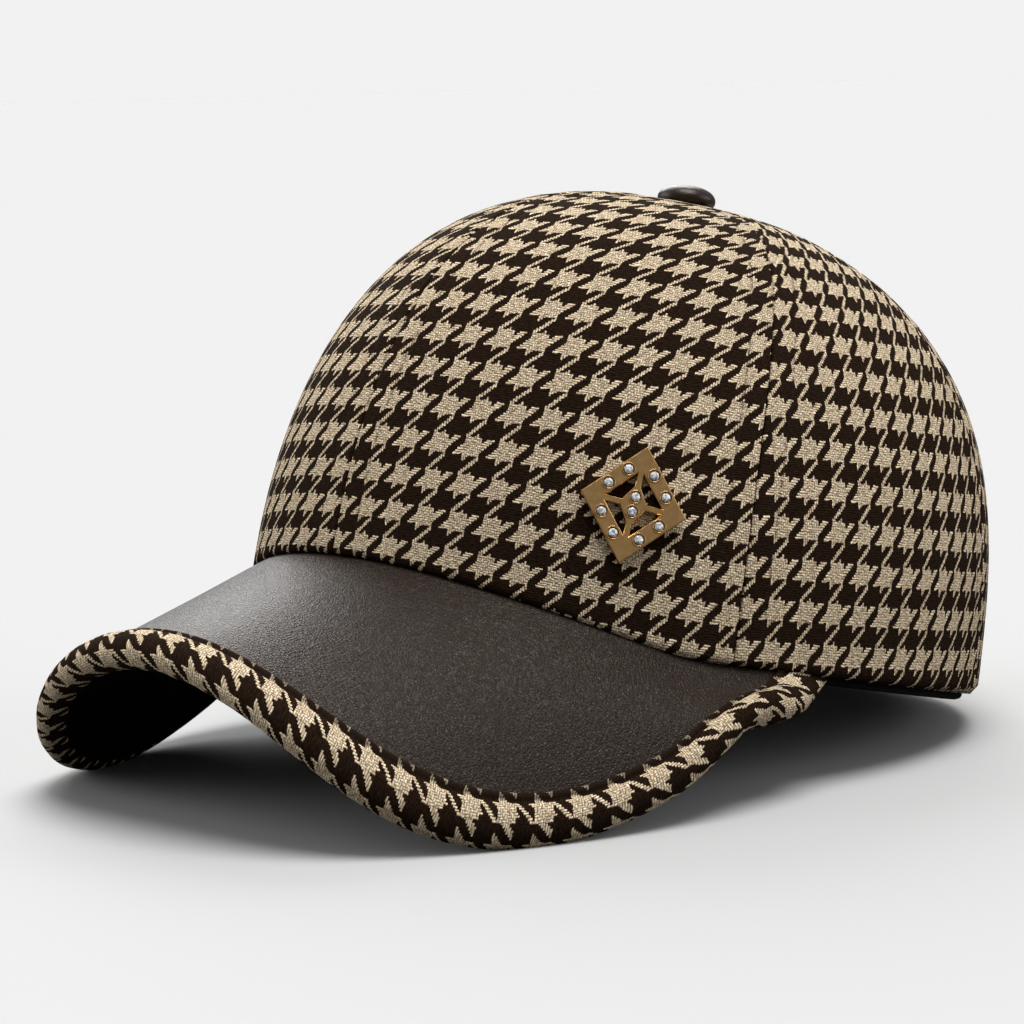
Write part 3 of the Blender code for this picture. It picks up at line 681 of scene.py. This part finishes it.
def bent(across, forward):
    radius = BEND_RADIUS - BEND_TIGHTENING * forward
    angle = across / radius
    x = radius * np.sin(angle)
    y = -HEM_HALF_LENGTH - forward * math.cos(PEAK_SLOPE)
    z = PEAK_JOIN_HEIGHT - forward * math.sin(PEAK_SLOPE) - radius * (1 - np.cos(angle))
    return np.stack([x, y, z], -1)


def on_pattern(x, y):
    forward = -(y + HEM_HALF_LENGTH) / math.cos(PEAK_SLOPE)
    radius = BEND_RADIUS - BEND_TIGHTENING * forward
    return radius * np.arcsin(np.clip(x / radius, -1, 1)), forward


def hem_outline(turn, outset):
    return (HEM_HALF_WIDTH + outset) * np.sin(turn), -(HEM_HALF_LENGTH + outset) * np.cos(turn)


join_turns = np.radians(np.linspace(-JOIN_END, JOIN_END, JOIN_POINTS))
join_across, join_forward = on_pattern(*hem_outline(join_turns, 0.0))
join_dip = CORNER_DROP * smooth_step(np.abs(join_turns), *CORNER_DIP)
join_lift = hem_height(join_turns) - HEM_OVER_PEAK - join_dip - bent(join_across, join_forward)[:, 2]


def lift_to_hem(across, forward):
    """The sewing lifts the sheet to the hem: fully inside it, and less and less outside."""
    place = np.stack([across, forward], -1)[..., None, :]
    line = np.stack([join_across, join_forward], -1)
    along = line[1:] - line[:-1]
    share = np.clip(((place - line[:-1]) * along).sum(-1) / (along**2).sum(-1), 0, 1)
    distance = np.linalg.norm(place - line[:-1] - share[..., None] * along, axis=-1)
    nearest = distance.argmin(-1)[..., None]
    lifts = join_lift[:-1] + (join_lift[1:] - join_lift[:-1]) * share
    lift = np.take_along_axis(lifts, nearest, -1)[..., 0]
    away = np.take_along_axis(distance, nearest, -1)[..., 0]
    flat = bent(across, forward)
    inside = (flat[..., 0] / HEM_HALF_WIDTH) ** 2 + (flat[..., 1] / HEM_HALF_LENGTH) ** 2 < 1
    return np.where(inside, lift, lift * (1 - smooth_step(away, 0, JOIN_FADE)))


def peak_surface(across, forward):
    points = bent(across, forward)
    points[..., 2] += lift_to_hem(across, forward)
    return points


def peak_points(across, forward, depth):
    """Points this far under the leather's face, square to it."""
    step = 0.5 * MM
    sideways = peak_surface(across + step, forward) - peak_surface(across - step, forward)
    forwards = peak_surface(across, forward + step) - peak_surface(across, forward - step)
    normal = np.cross(forwards, sideways)
    normal /= np.linalg.norm(normal, axis=-1, keepdims=True)
    return peak_surface(across, forward) - normal * np.asarray(depth)[..., None]


# %% [markdown]
# On the flat pattern the peak's front edge is part of an ellipse, and its two tails are flatter curves that
# run back under the hem. Even spacing along the whole edge lets cloth be laid on it later without bunching.

# %% The peak's edge
EDGE_STEPS = 500
CURVE_POINTS = 300


def spaced_evenly(points, count):
    lengths = lengths_along(points, 0)
    targets = np.linspace(0, lengths[-1], count)
    return np.stack([np.interp(targets, lengths, points[:, axis]) for axis in (0, 1)], -1)


def peak_edge(count):
    """Evenly spaced pattern points from the right tail to the left, and the way in from the edge at each."""
    angle = np.linspace(0, math.pi / 2, CURVE_POINTS)
    front = np.stack([
        PEAK_HALF_SPREAD * np.sin(angle),
        PEAK_WIDEST_AT + (PEAK_LENGTH - PEAK_WIDEST_AT) * np.cos(angle),
    ], -1)
    power = 2 / TAIL_POWER
    tail = np.stack([
        PEAK_HALF_SPREAD - TAIL_INWARDS * (1 - np.cos(angle) ** power),
        PEAK_WIDEST_AT - TAIL_BACKWARDS * np.sin(angle) ** power,
    ], -1)
    half = spaced_evenly(np.concatenate([front, tail[1:]]), count // 2 + 1)
    line = np.concatenate([half[:0:-1] * (-1, 1), half])
    along = np.gradient(line, axis=0)
    along /= np.linalg.norm(along, axis=-1, keepdims=True)
    return line, np.stack([along[:, 1], -along[:, 0]], -1)


edge_line, edge_inwards = peak_edge(EDGE_STEPS)
edge_length = lengths_along(edge_line, 0)
print(f"peak edge: {edge_length[-1] / MM:.0f} mm long")

# %% [markdown]
# The peak's top is one skin of fine-grained leather glued to a stiff board. The grid runs from just inside
# the hem out into the padded roll, so its edges are never seen, and fine rows keep the long reflection
# along the bend smooth. The lining is a second, thinner layer under the board.

# %% The leather peak and the lining under it
LEATHER_INSET = 4.2 * MM
LEATHER_ROWS = 30
LEATHER_INSIDE_HEM = 1.7 * MM
HEM_POINTS = 600


def outside_hem(placed, inset):
    sideways = placed[:, 0] / (HEM_HALF_WIDTH - inset)
    lengthways = placed[:, 1] / (HEM_HALF_LENGTH - inset)
    return sideways**2 + lengthways**2 > 1


def make_peak_layer(name, depth, thickness):
    outer = edge_line + edge_inwards * LEATHER_INSET
    placed = bent(outer[:, 0], outer[:, 1])
    outside = np.flatnonzero(outside_hem(placed, LEATHER_INSIDE_HEM))
    outer = outer[outside[0]:outside[-1] + 1]
    end = placed[outside[-1]]
    end_turn = math.atan2(end[0] / HEM_HALF_WIDTH, -end[1] / HEM_HALF_LENGTH)
    turns = np.linspace(-end_turn, end_turn, HEM_POINTS)
    inner = np.stack(on_pattern(*hem_outline(turns, -LEATHER_INSIDE_HEM)), -1)
    inner = spaced_evenly(inner, len(outer))
    share = np.linspace(0, 1, LEATHER_ROWS + 1)[:, None, None]
    pattern = outer + (inner - outer) * share
    points = peak_points(pattern[..., 0], pattern[..., 1], depth)
    layer = add_sheet(name, set_down(points))
    apply_modifier(layer, "SOLIDIFY", thickness=thickness, offset=-1)
    bpy.ops.object.shade_smooth()
    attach(layer, "root")
    print_size(layer)
    return layer


peak_leather = make_peak_layer("peak_leather", 0.0, BOARD)
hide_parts("peak")
peak_lining = make_peak_layer("peak_lining", BOARD + GAP, LINING)
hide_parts("peak_underside")


# %% [markdown]
# Fine leather grain is a net of shallow creases between soft pebbles. Cell distances give the net, a
# finer noise breaks it up, and the same pebbles change the roughness a little, so the broad highlight on
# the bend is grainy and not glassy.


# %% Leather grain, as a node group
CREASE_WANDER = {"scale": 1300, "reach": 0.5 * MM}
PEBBLE_EDGE = 0.32  # how far a pebble's rounded edge reaches in from the crease
FINE_GRAIN = {"scale": 3800, "height": 0.5}
TONE = {"scale": 22, "from_pebbles": 0.25}


def make_grain_group():
    group, source, result = new_group(
        "leather_grain",
        [("Place", "NodeSocketVector", None), ("Cells", "NodeSocketFloat", None)],
        [("Height", "NodeSocketFloat"), ("Tone", "NodeSocketFloat")],
    )
    place = source.outputs["Place"]
    wander = noise(group, place, CREASE_WANDER["scale"], 2, 0.5, "Color")
    moved = calculate_vector(group, "MULTIPLY_ADD", wander, [CREASE_WANDER["reach"]] * 3, place)
    cells = group.nodes.new("ShaderNodeTexVoronoi")
    cells.feature = "DISTANCE_TO_EDGE"
    group.links.new(moved, cells.inputs["Vector"])
    group.links.new(source.outputs["Cells"], cells.inputs["Scale"])
    pebbles = ramp(group, cells.outputs["Distance"], 0.0, PEBBLE_EDGE)
    fine = noise(group, place, FINE_GRAIN["scale"], 2, 0.6)
    height = calculate(group, "MULTIPLY_ADD", fine, FINE_GRAIN["height"], pebbles)
    group.links.new(height, result.inputs["Height"])
    broad = noise(group, place, TONE["scale"], 3, 0.5)
    tone = calculate(group, "MULTIPLY_ADD", pebbles, TONE["from_pebbles"], broad)
    group.links.new(tone, result.inputs["Tone"])
    return group


grain_group = make_grain_group()

# %% [markdown]
# Both leathers on the cap use that grain. The peak's is coarser and satin, the button's finer and smoother,
# and the gloss of both is slightly brown.

# %% The leather itself
LEATHER_GLOSS = (1.0, 0.88, 0.79, 1)
LEATHER_LIGHTER = 1.35
LEATHER_ROUGHER, LEATHER_SMOOTHER = 0.06, 0.05
PEAK_LEATHER = {
    "colour": (0.0115, 0.0072, 0.0048),
    "roughness": 0.35,
    "cells": 1350,
    "depth": 0.11 * MM,
    "Specular_IOR_Level": 0.18,
    "Specular_Tint": LEATHER_GLOSS,
}


def make_leather_material(name, colour, roughness, cells, depth, **sockets):
    material, tree, shader = new_material(name, roughness, **sockets)
    coordinates = tree.nodes.new("ShaderNodeTexCoord")
    grain = tree.nodes.new("ShaderNodeGroup")
    grain.node_tree = grain_group
    tree.links.new(coordinates.outputs["Object"], grain.inputs["Place"])
    grain.inputs["Cells"].default_value = cells
    lighter = tuple(value * LEATHER_LIGHTER for value in colour)
    tone = grain.outputs["Tone"]
    base = blend_colours(tree, tone, (*colour, 1), (*lighter, 1))
    tree.links.new(base, shader.inputs["Base Color"])
    rough = ramp(tree, tone, 0.2, 1.0, roughness + LEATHER_ROUGHER, roughness - LEATHER_SMOOTHER, "LINEAR")
    tree.links.new(rough, shader.inputs["Roughness"])
    add_bump(tree, shader, grain.outputs["Height"], depth)
    return material


peak_leather.data.materials.append(make_leather_material("peak_leather", **PEAK_LEATHER))

# %% [markdown]
# A padded roll of the crown's wool covers the peak's edge. Its section is a table of points, from the
# ridge beside the leather, over the round of the padding and back under the board. The section is swept
# along the edge as one closed body, with the board's edge inside it, then a plug the shape of the head
# opening trims its two ends under the hem.

# %% The padded roll
ROLL_SECTION = [  # inset from the edge, and height over the middle of the board, in millimetres
    (10.3, 1.9), (10.6, 2.6), (10.4, 3.1), (9.9, 3.35), (9.3, 3.2), (8.9, 2.85),
    (8.5, 3.2), (7.6, 3.9), (6.2, 4.35), (4.6, 4.4), (3.0, 4.0), (1.5, 3.1), (0.4, 1.7), (0.0, 0.0),
    (0.4, -1.7), (1.5, -3.1), (3.0, -4.0), (4.6, -4.4), (6.4, -4.3), (8.2, -3.8), (9.8, -3.2),
    (10.5, -2.7), (10.3, -2.1),
]
ROLL_PINCH = (-8 * MM, 26 * MM)  # along the edge: thinnest this far inside the hem, full this far outside
ROLL_PADDING_LEFT = 0.2
ROLL_SINK = 0.8 * MM  # at its ends the roll slides under the hem
ROLL_FREE_HEIGHT = 2.3 * MM
ROLL_INNER_FACE = 4 * MM  # the side that the board hides
ROLL_BIAS = 0.2  # the strip is pulled askew, so its rows lean as they cross it
ROLL_OFFSET = (-3.8 * MM, 0.0)
ROLL_RIDGE = 2.9 * MM  # how far round the section the stitched ridge goes, darkened there with painted shade
ROLL_LINED_FROM = 20.5 * MM  # and where the black lining under the peak begins


def make_roll():
    inset, height = np.array(ROLL_SECTION).T * MM
    meeting = edge_length[outside_hem(bent(edge_line[:, 0], edge_line[:, 1]), 0.0)][[0, -1]]
    from_hem = np.minimum(edge_length - meeting[0], meeting[1] - edge_length)
    full = smooth_step(from_hem, *ROLL_PINCH)
    padding = np.maximum(np.abs(height)[:, None] - ROLL_FREE_HEIGHT, 0)
    heights = height[:, None] - np.sign(height)[:, None] * padding * (1 - ROLL_PADDING_LEFT) * (1 - full)
    pattern = edge_line + edge_inwards * inset[:, None, None]
    depth = (BOARD + GAP + LINING) / 2 - heights + ROLL_SINK * (1 - full)
    points = peak_points(pattern[..., 0], pattern[..., 1], depth)
    around = lengths_along(points, 0)[:, [EDGE_STEPS // 2]] * np.ones_like(depth)
    along = edge_length - ROLL_BIAS * around
    cloth_uv = np.stack([around, along], -1)
    # The ring of the section closes on itself, so its first row is repeated at the end.
    points = np.concatenate([points, points[:1]])
    cloth_uv = np.concatenate([cloth_uv, np.stack([around[-1] + ROLL_INNER_FACE, along[-1]], -1)[None]])
    roll = add_sheet("edge_roll", set_down(points), cloth=cloth_uv)
    edit(
        roll,
        lambda: bpy.ops.mesh.remove_doubles(threshold=MERGE_WITHIN),
        lambda: bpy.ops.mesh.fill_holes(sides=0),
        lambda: bpy.ops.mesh.normals_make_consistent(inside=False),
    )
    return roll


PLUG_SIDES = 160
PLUG_HEIGHT = 160 * MM
PLUG_INSIDE_HEM = 2.3 * MM


def make_plug():
    bpy.ops.object.select_all(action="DESELECT")
    bpy.ops.mesh.primitive_cylinder_add(vertices=PLUG_SIDES, radius=1, depth=PLUG_HEIGHT)
    plug = bpy.context.object
    plug.name = "head_opening_plug"
    plug.scale = (HEM_HALF_WIDTH - PLUG_INSIDE_HEM, HEM_HALF_LENGTH - PLUG_INSIDE_HEM, 1)
    plug.rotation_euler = (-LEAN, 0, 0)
    plug.location = REST_PLACE
    return plug


edge_roll = make_roll()
plug = make_plug()
apply_modifier(edge_roll, "BOOLEAN", operation="DIFFERENCE", object=plug)
bpy.data.objects.remove(plug, do_unlink=True)
select_only(edge_roll)
bpy.ops.object.shade_smooth()
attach(edge_roll, "root")
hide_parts("peak_binding")
edge_roll.data.materials.clear()
edge_roll.data.materials.append(
    make_wool("wool_roll", ROLL_REPEAT, ROLL_OFFSET, ridge=ROLL_RIDGE, lined_from=ROLL_LINED_FROM)
)
print_size(edge_roll)

# %% [markdown]
# A black band runs round the inside of the hem and shows just below it. Its near-black is partly its own
# colour and partly painted shade under the hem. It follows the crown's inner face, and its lower edge is
# folded in.

# %% The sweatband
BAND_BELOW_HEM = 1.9 * MM
BAND_TOP = 30 * MM
BAND_OFF_CLOTH = 2.0 * MM
BAND_THICKNESS = 1.5 * MM
BAND_FOLD = 1.4 * MM


def make_band():
    # Rows lie close together at the folded edge and further apart above it.
    turn, height = np.meshgrid(
        np.linspace(0, 2 * math.pi, 181),
        np.concatenate([np.linspace(-BAND_BELOW_HEM, 1 * MM, 8), np.linspace(3 * MM, BAND_TOP, 10)]),
    )
    level = hem_height(turn) + height
    rise = rise_at_height(turn, level)
    inset = CLOTH_THICKNESS + BAND_OFF_CLOTH + roll_in(height + BAND_BELOW_HEM, BAND_FOLD)
    points = crown_points(turn, rise) - crown_normals(turn, rise) * inset[..., None]
    points[..., 2] = level
    band = add_sheet("black_band", set_down(points))
    merge_and_face_out(band)
    apply_modifier(band, "SOLIDIFY", thickness=BAND_THICKNESS, offset=-1)
    bpy.ops.object.shade_smooth()
    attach(band, "root")
    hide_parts("sweatband")
    print_size(band)
    return band


black_band = make_band()

# %% [markdown]
# The button is a turned metal shell covered in smooth leather. It is a lathe shape, so a short profile is
# drawn as edges and spun round the crown's axis, then leaned with the crown.

# %% The top button
BUTTON_RADIUS = 7.5 * MM
BUTTON_HEIGHT = 5.4 * MM
BUTTON_LEATHER = {
    "colour": (0.012, 0.007, 0.005),
    "roughness": 0.3,
    "cells": 1700,
    "depth": 0.02 * MM,
    "Specular_IOR_Level": 0.3,
    "Specular_Tint": LEATHER_GLOSS,
}
BUTTON_SPIN_STEPS = 48
BUTTON_PROFILE = [  # distance from the axis and height, as shares of the radius and the height
    (0.0, 1.0), (0.25, 0.985), (0.5, 0.935), (0.72, 0.84), (0.88, 0.70), (0.97, 0.52), (1.0, 0.38),
    (0.985, 0.22), (0.94, 0.08), (0.86, 0.0), (0.45, 0.0), (0.45, -0.8), (0.0, -0.8),
]


def make_button():
    shape = bmesh.new()
    corners = [shape.verts.new((x * BUTTON_RADIUS, 0, z * BUTTON_HEIGHT)) for x, z in BUTTON_PROFILE]
    for first, second in zip(corners, corners[1:]):
        shape.edges.new((first, second))
    mesh = bpy.data.meshes.new("covered_button")
    shape.to_mesh(mesh)
    shape.free()
    button = bpy.data.objects.new("covered_button", mesh)
    bpy.context.scene.collection.objects.link(button)
    edit(
        button,
        lambda: bpy.ops.mesh.spin(
            steps=BUTTON_SPIN_STEPS, angle=2 * math.pi, center=(0, 0, 0), axis=(0, 0, 1), use_auto_merge=True
        ),
    )
    merge_and_face_out(button)
    apply_modifier(button, "SUBSURF", levels=1, render_levels=1)
    button.data.transform(Matrix.Translation((0, APEX_BACK, CROWN_HEIGHT + GAP)))
    button.data.transform(Matrix.Rotation(-LEAN, 4, "X"))
    button.data.transform(Matrix.Translation(Vector(REST_PLACE)))
    select_only(button)
    bpy.ops.object.shade_smooth()
    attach(button, "root")
    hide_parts("top_button")
    print_size(button)
    return button


covered_button = make_button()
covered_button.data.materials.append(make_leather_material("button_leather", **BUTTON_LEATHER))


# %% [markdown]
# The band and the lining are a fine plain weave: three sine waves cross in it, and noise breaks them up. The
# gold is slightly uneven in colour and roughness, because polished plate is never a perfect mirror. The
# stones are so small that a few hard glints say enough, and these glints are painted: noise spots their
# colour pale and dark.

# %% Black cloth, gold and stones
BLACK_WEAVE = {"height": 0.3, "fibre_scale": 2400, "lighter": 1.9, "relief": 0.12 * MM}
# The band's near-black is its own black, deepened with painted shade under the hem.
BAND_CLOTH = {"colour": (0.003, 0.003, 0.003), "thread": 0.9 * MM}
LINING_CLOTH = {"colour": (0.006, 0.0045, 0.0035), "thread": 0.7 * MM}
GOLD_SHADES = ((0.52, 0.30, 0.115, 1), (0.70, 0.43, 0.18, 1))
GOLD_ROUGHNESS = (0.12, 0.26)
STONE_PAINTED_GLINTS = ((0.30, 0.31, 0.33, 1), (0.92, 0.93, 0.95, 1))


def make_black_cloth(name, colour, thread):
    material, tree, shader = new_material(name, 0.95, Specular_IOR_Level=0.1)
    coordinates = tree.nodes.new("ShaderNodeTexCoord")
    waves = [
        calculate(tree, "SINE", calculate(tree, "MULTIPLY", along_axis, 2 * math.pi / thread))
        for along_axis in split_axes(tree, coordinates.outputs["Object"])
    ]
    woven = calculate(tree, "MULTIPLY", calculate(tree, "ADD", waves[0], waves[1]), waves[2])
    fibres = noise(tree, coordinates.outputs["Object"], BLACK_WEAVE["fibre_scale"], 3)
    height = calculate(tree, "MULTIPLY_ADD", woven, BLACK_WEAVE["height"], fibres)
    lighter = tuple(value * BLACK_WEAVE["lighter"] for value in colour)
    tree.links.new(blend_colours(tree, fibres, (*colour, 1), (*lighter, 1)), shader.inputs["Base Color"])
    add_bump(tree, shader, height, BLACK_WEAVE["relief"])
    return material


def make_gold():
    material, tree, shader = new_material("badge_gold", 0.22, Metallic=1.0)
    coordinates = tree.nodes.new("ShaderNodeTexCoord")
    uneven = noise(tree, coordinates.outputs["Object"], 700, 3)
    tree.links.new(ramp(tree, uneven, 0.3, 0.7, *GOLD_ROUGHNESS), shader.inputs["Roughness"])
    tree.links.new(blend_colours(tree, uneven, *GOLD_SHADES), shader.inputs["Base Color"])
    return material


def make_stone():
    material, tree, shader = new_material("crystal", 0.03, Metallic=0.25)
    coordinates = tree.nodes.new("ShaderNodeTexCoord")
    # Painted glints: noise spots the stones' colour near-white and grey, the way their facets would sparkle.
    glints = noise(tree, coordinates.outputs["Object"], 1500, 1)
    shade = blend_colours(tree, ramp(tree, glints, 0.35, 0.65), *STONE_PAINTED_GLINTS)
    tree.links.new(shade, shader.inputs["Base Color"])
    return material


# %% [markdown]
# The band, the lining and the badge take their finishes. The badge is a copy of its solid with softer edges,
# and the stones keep their solids, because their cut facets are already right.

# %% Dressing the small pieces
BADGE_EDGE = 0.22 * MM  # the bevel holds itself to less where the cut-outs' facets are small


def soften_badge():
    """A copy of the badge with its cut edges rounded, as plating rounds them."""
    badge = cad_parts["badge"].copy()
    badge.data = badge.data.copy()
    badge.name = "gold_badge"
    bpy.context.scene.collection.objects.link(badge)
    # The solid comes with every face cut loose, and a bevel needs shared edges to round.
    merge_and_face_out(badge)
    edit(badge, lambda: bpy.ops.mesh.dissolve_limited(angle_limit=math.radians(1)))
    apply_modifier(
        badge, "BEVEL", width=BADGE_EDGE, segments=2, limit_method="ANGLE", angle_limit=math.radians(40)
    )
    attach(badge, "root")
    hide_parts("badge")
    print_size(badge)
    return badge


def dress(names, material):
    for name in names:
        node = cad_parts[name]
        node.data.materials.clear()
        node.data.materials.append(material)


black_band.data.materials.append(make_black_cloth("sweatband_cloth", **BAND_CLOTH))
peak_lining.data.materials.append(make_black_cloth("underside_cloth", **LINING_CLOTH))
worn_badge = soften_badge()
worn_badge.data.materials.clear()
worn_badge.data.materials.append(make_gold())
dress([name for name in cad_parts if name.startswith("crystal_")], make_stone())

# %% [markdown]
# The photograph's studio is one even near-white, with soft light from above and deep shadow under the cap.
# A far floor edge would show as a line, so the floor runs a long way back, the lamps are large suns that
# light it evenly, and what the camera sees behind it is given the floor's own brightness. A Light Path node
# lets the floor and the sky look pale to the camera and yet give the cap less light than that, because pale
# paper all round would wash out the deep shadows of the photograph.

# %% Floor and light
FLOOR_HALF_WIDTH = 150
FLOOR_SEEN = (0.430, 0.430, 0.430, 1)
FLOOR_GIVEN_BACK = (0.10, 0.10, 0.10, 1)
STUDIO_WHITE = 0.885
GLOW_AT_HORIZON = 0.12
GLOW_OVERHEAD = 0.6
LAMPS = [
    {"name": "soft_lamp_above", "azimuth": 92, "elevation": 80, "spread": 38, "power": 3.45},
    {"name": "gloss_lamp", "azimuth": -125, "elevation": 33, "spread": 40, "power": 2.0},
    {"name": "low_lamp_right", "azimuth": -54, "elevation": 15, "spread": 45, "power": 1.3},
    {"name": "low_lamp_left", "azimuth": 132, "elevation": 11, "spread": 45, "power": 1.2},
]


def make_floor():
    bpy.ops.object.select_all(action="DESELECT")
    bpy.ops.mesh.primitive_plane_add(size=2 * FLOOR_HALF_WIDTH, location=(0, 0, 0))
    floor = bpy.context.object
    floor.name = "studio_floor"
    material, tree, shader = new_material("studio_paper", 1.0, Specular_IOR_Level=0.0)
    path = tree.nodes.new("ShaderNodeLightPath")
    paper = blend_colours(tree, path.outputs["Is Camera Ray"], FLOOR_GIVEN_BACK, FLOOR_SEEN)
    tree.links.new(paper, shader.inputs["Base Color"])
    floor.data.materials.append(material)
    floor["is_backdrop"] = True


def add_sun(name, azimuth, elevation, spread, power):
    """A sun seen at this azimuth and elevation from the cap. Azimuth 0 is in front of it, 90 on its left."""
    turn, rise = math.radians(azimuth), math.radians(elevation)
    towards = Vector((math.sin(turn) * math.cos(rise), -math.cos(turn) * math.cos(rise), math.sin(rise)))
    bpy.ops.object.light_add(type="SUN", location=towards)
    sun = bpy.context.object
    sun.name = name
    sun.data.energy = power
    sun.data.angle = math.radians(spread)
    sun.rotation_euler = towards.to_track_quat("Z", "Y").to_euler()


def make_world():
    world = bpy.data.worlds.new("studio_world")
    bpy.context.scene.world = world
    world.use_nodes = True
    tree = world.node_tree
    glow = tree.nodes["Background"]
    glow.inputs["Color"].default_value = (1, 1, 1, 1)
    direction = tree.nodes.new("ShaderNodeTexCoord")
    upwards = split_axes(tree, direction.outputs["Generated"])[2]
    strength = ramp(tree, upwards, 0, 1, GLOW_AT_HORIZON, GLOW_OVERHEAD, "LINEAR")
    tree.links.new(strength, glow.inputs["Strength"])
    seen = tree.nodes.new("ShaderNodeBackground")
    seen.inputs["Color"].default_value = (1, 1, 1, 1)
    seen.inputs["Strength"].default_value = STUDIO_WHITE
    path = tree.nodes.new("ShaderNodeLightPath")
    choose = tree.nodes.new("ShaderNodeMixShader")
    tree.links.new(path.outputs["Is Camera Ray"], choose.inputs[0])
    tree.links.new(glow.outputs[0], choose.inputs[1])
    tree.links.new(seen.outputs[0], choose.inputs[2])
    tree.links.new(choose.outputs[0], tree.nodes["World Output"].inputs["Surface"])


make_floor()
make_world()
for lamp in LAMPS:
    add_sun(**lamp)
bpy.context.scene.view_settings.view_transform = "Standard"

# %% [markdown]
# Last, the sizes are printed: the box of the bare solids, and the box of the dressed cap, which should be
# nearly the same.

dressed_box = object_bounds()
for name, box in (("frame", frame_box), ("dressed", dressed_box)):
    print(name, [round((high - low) / MM, 1) for low, high in zip(*box)])
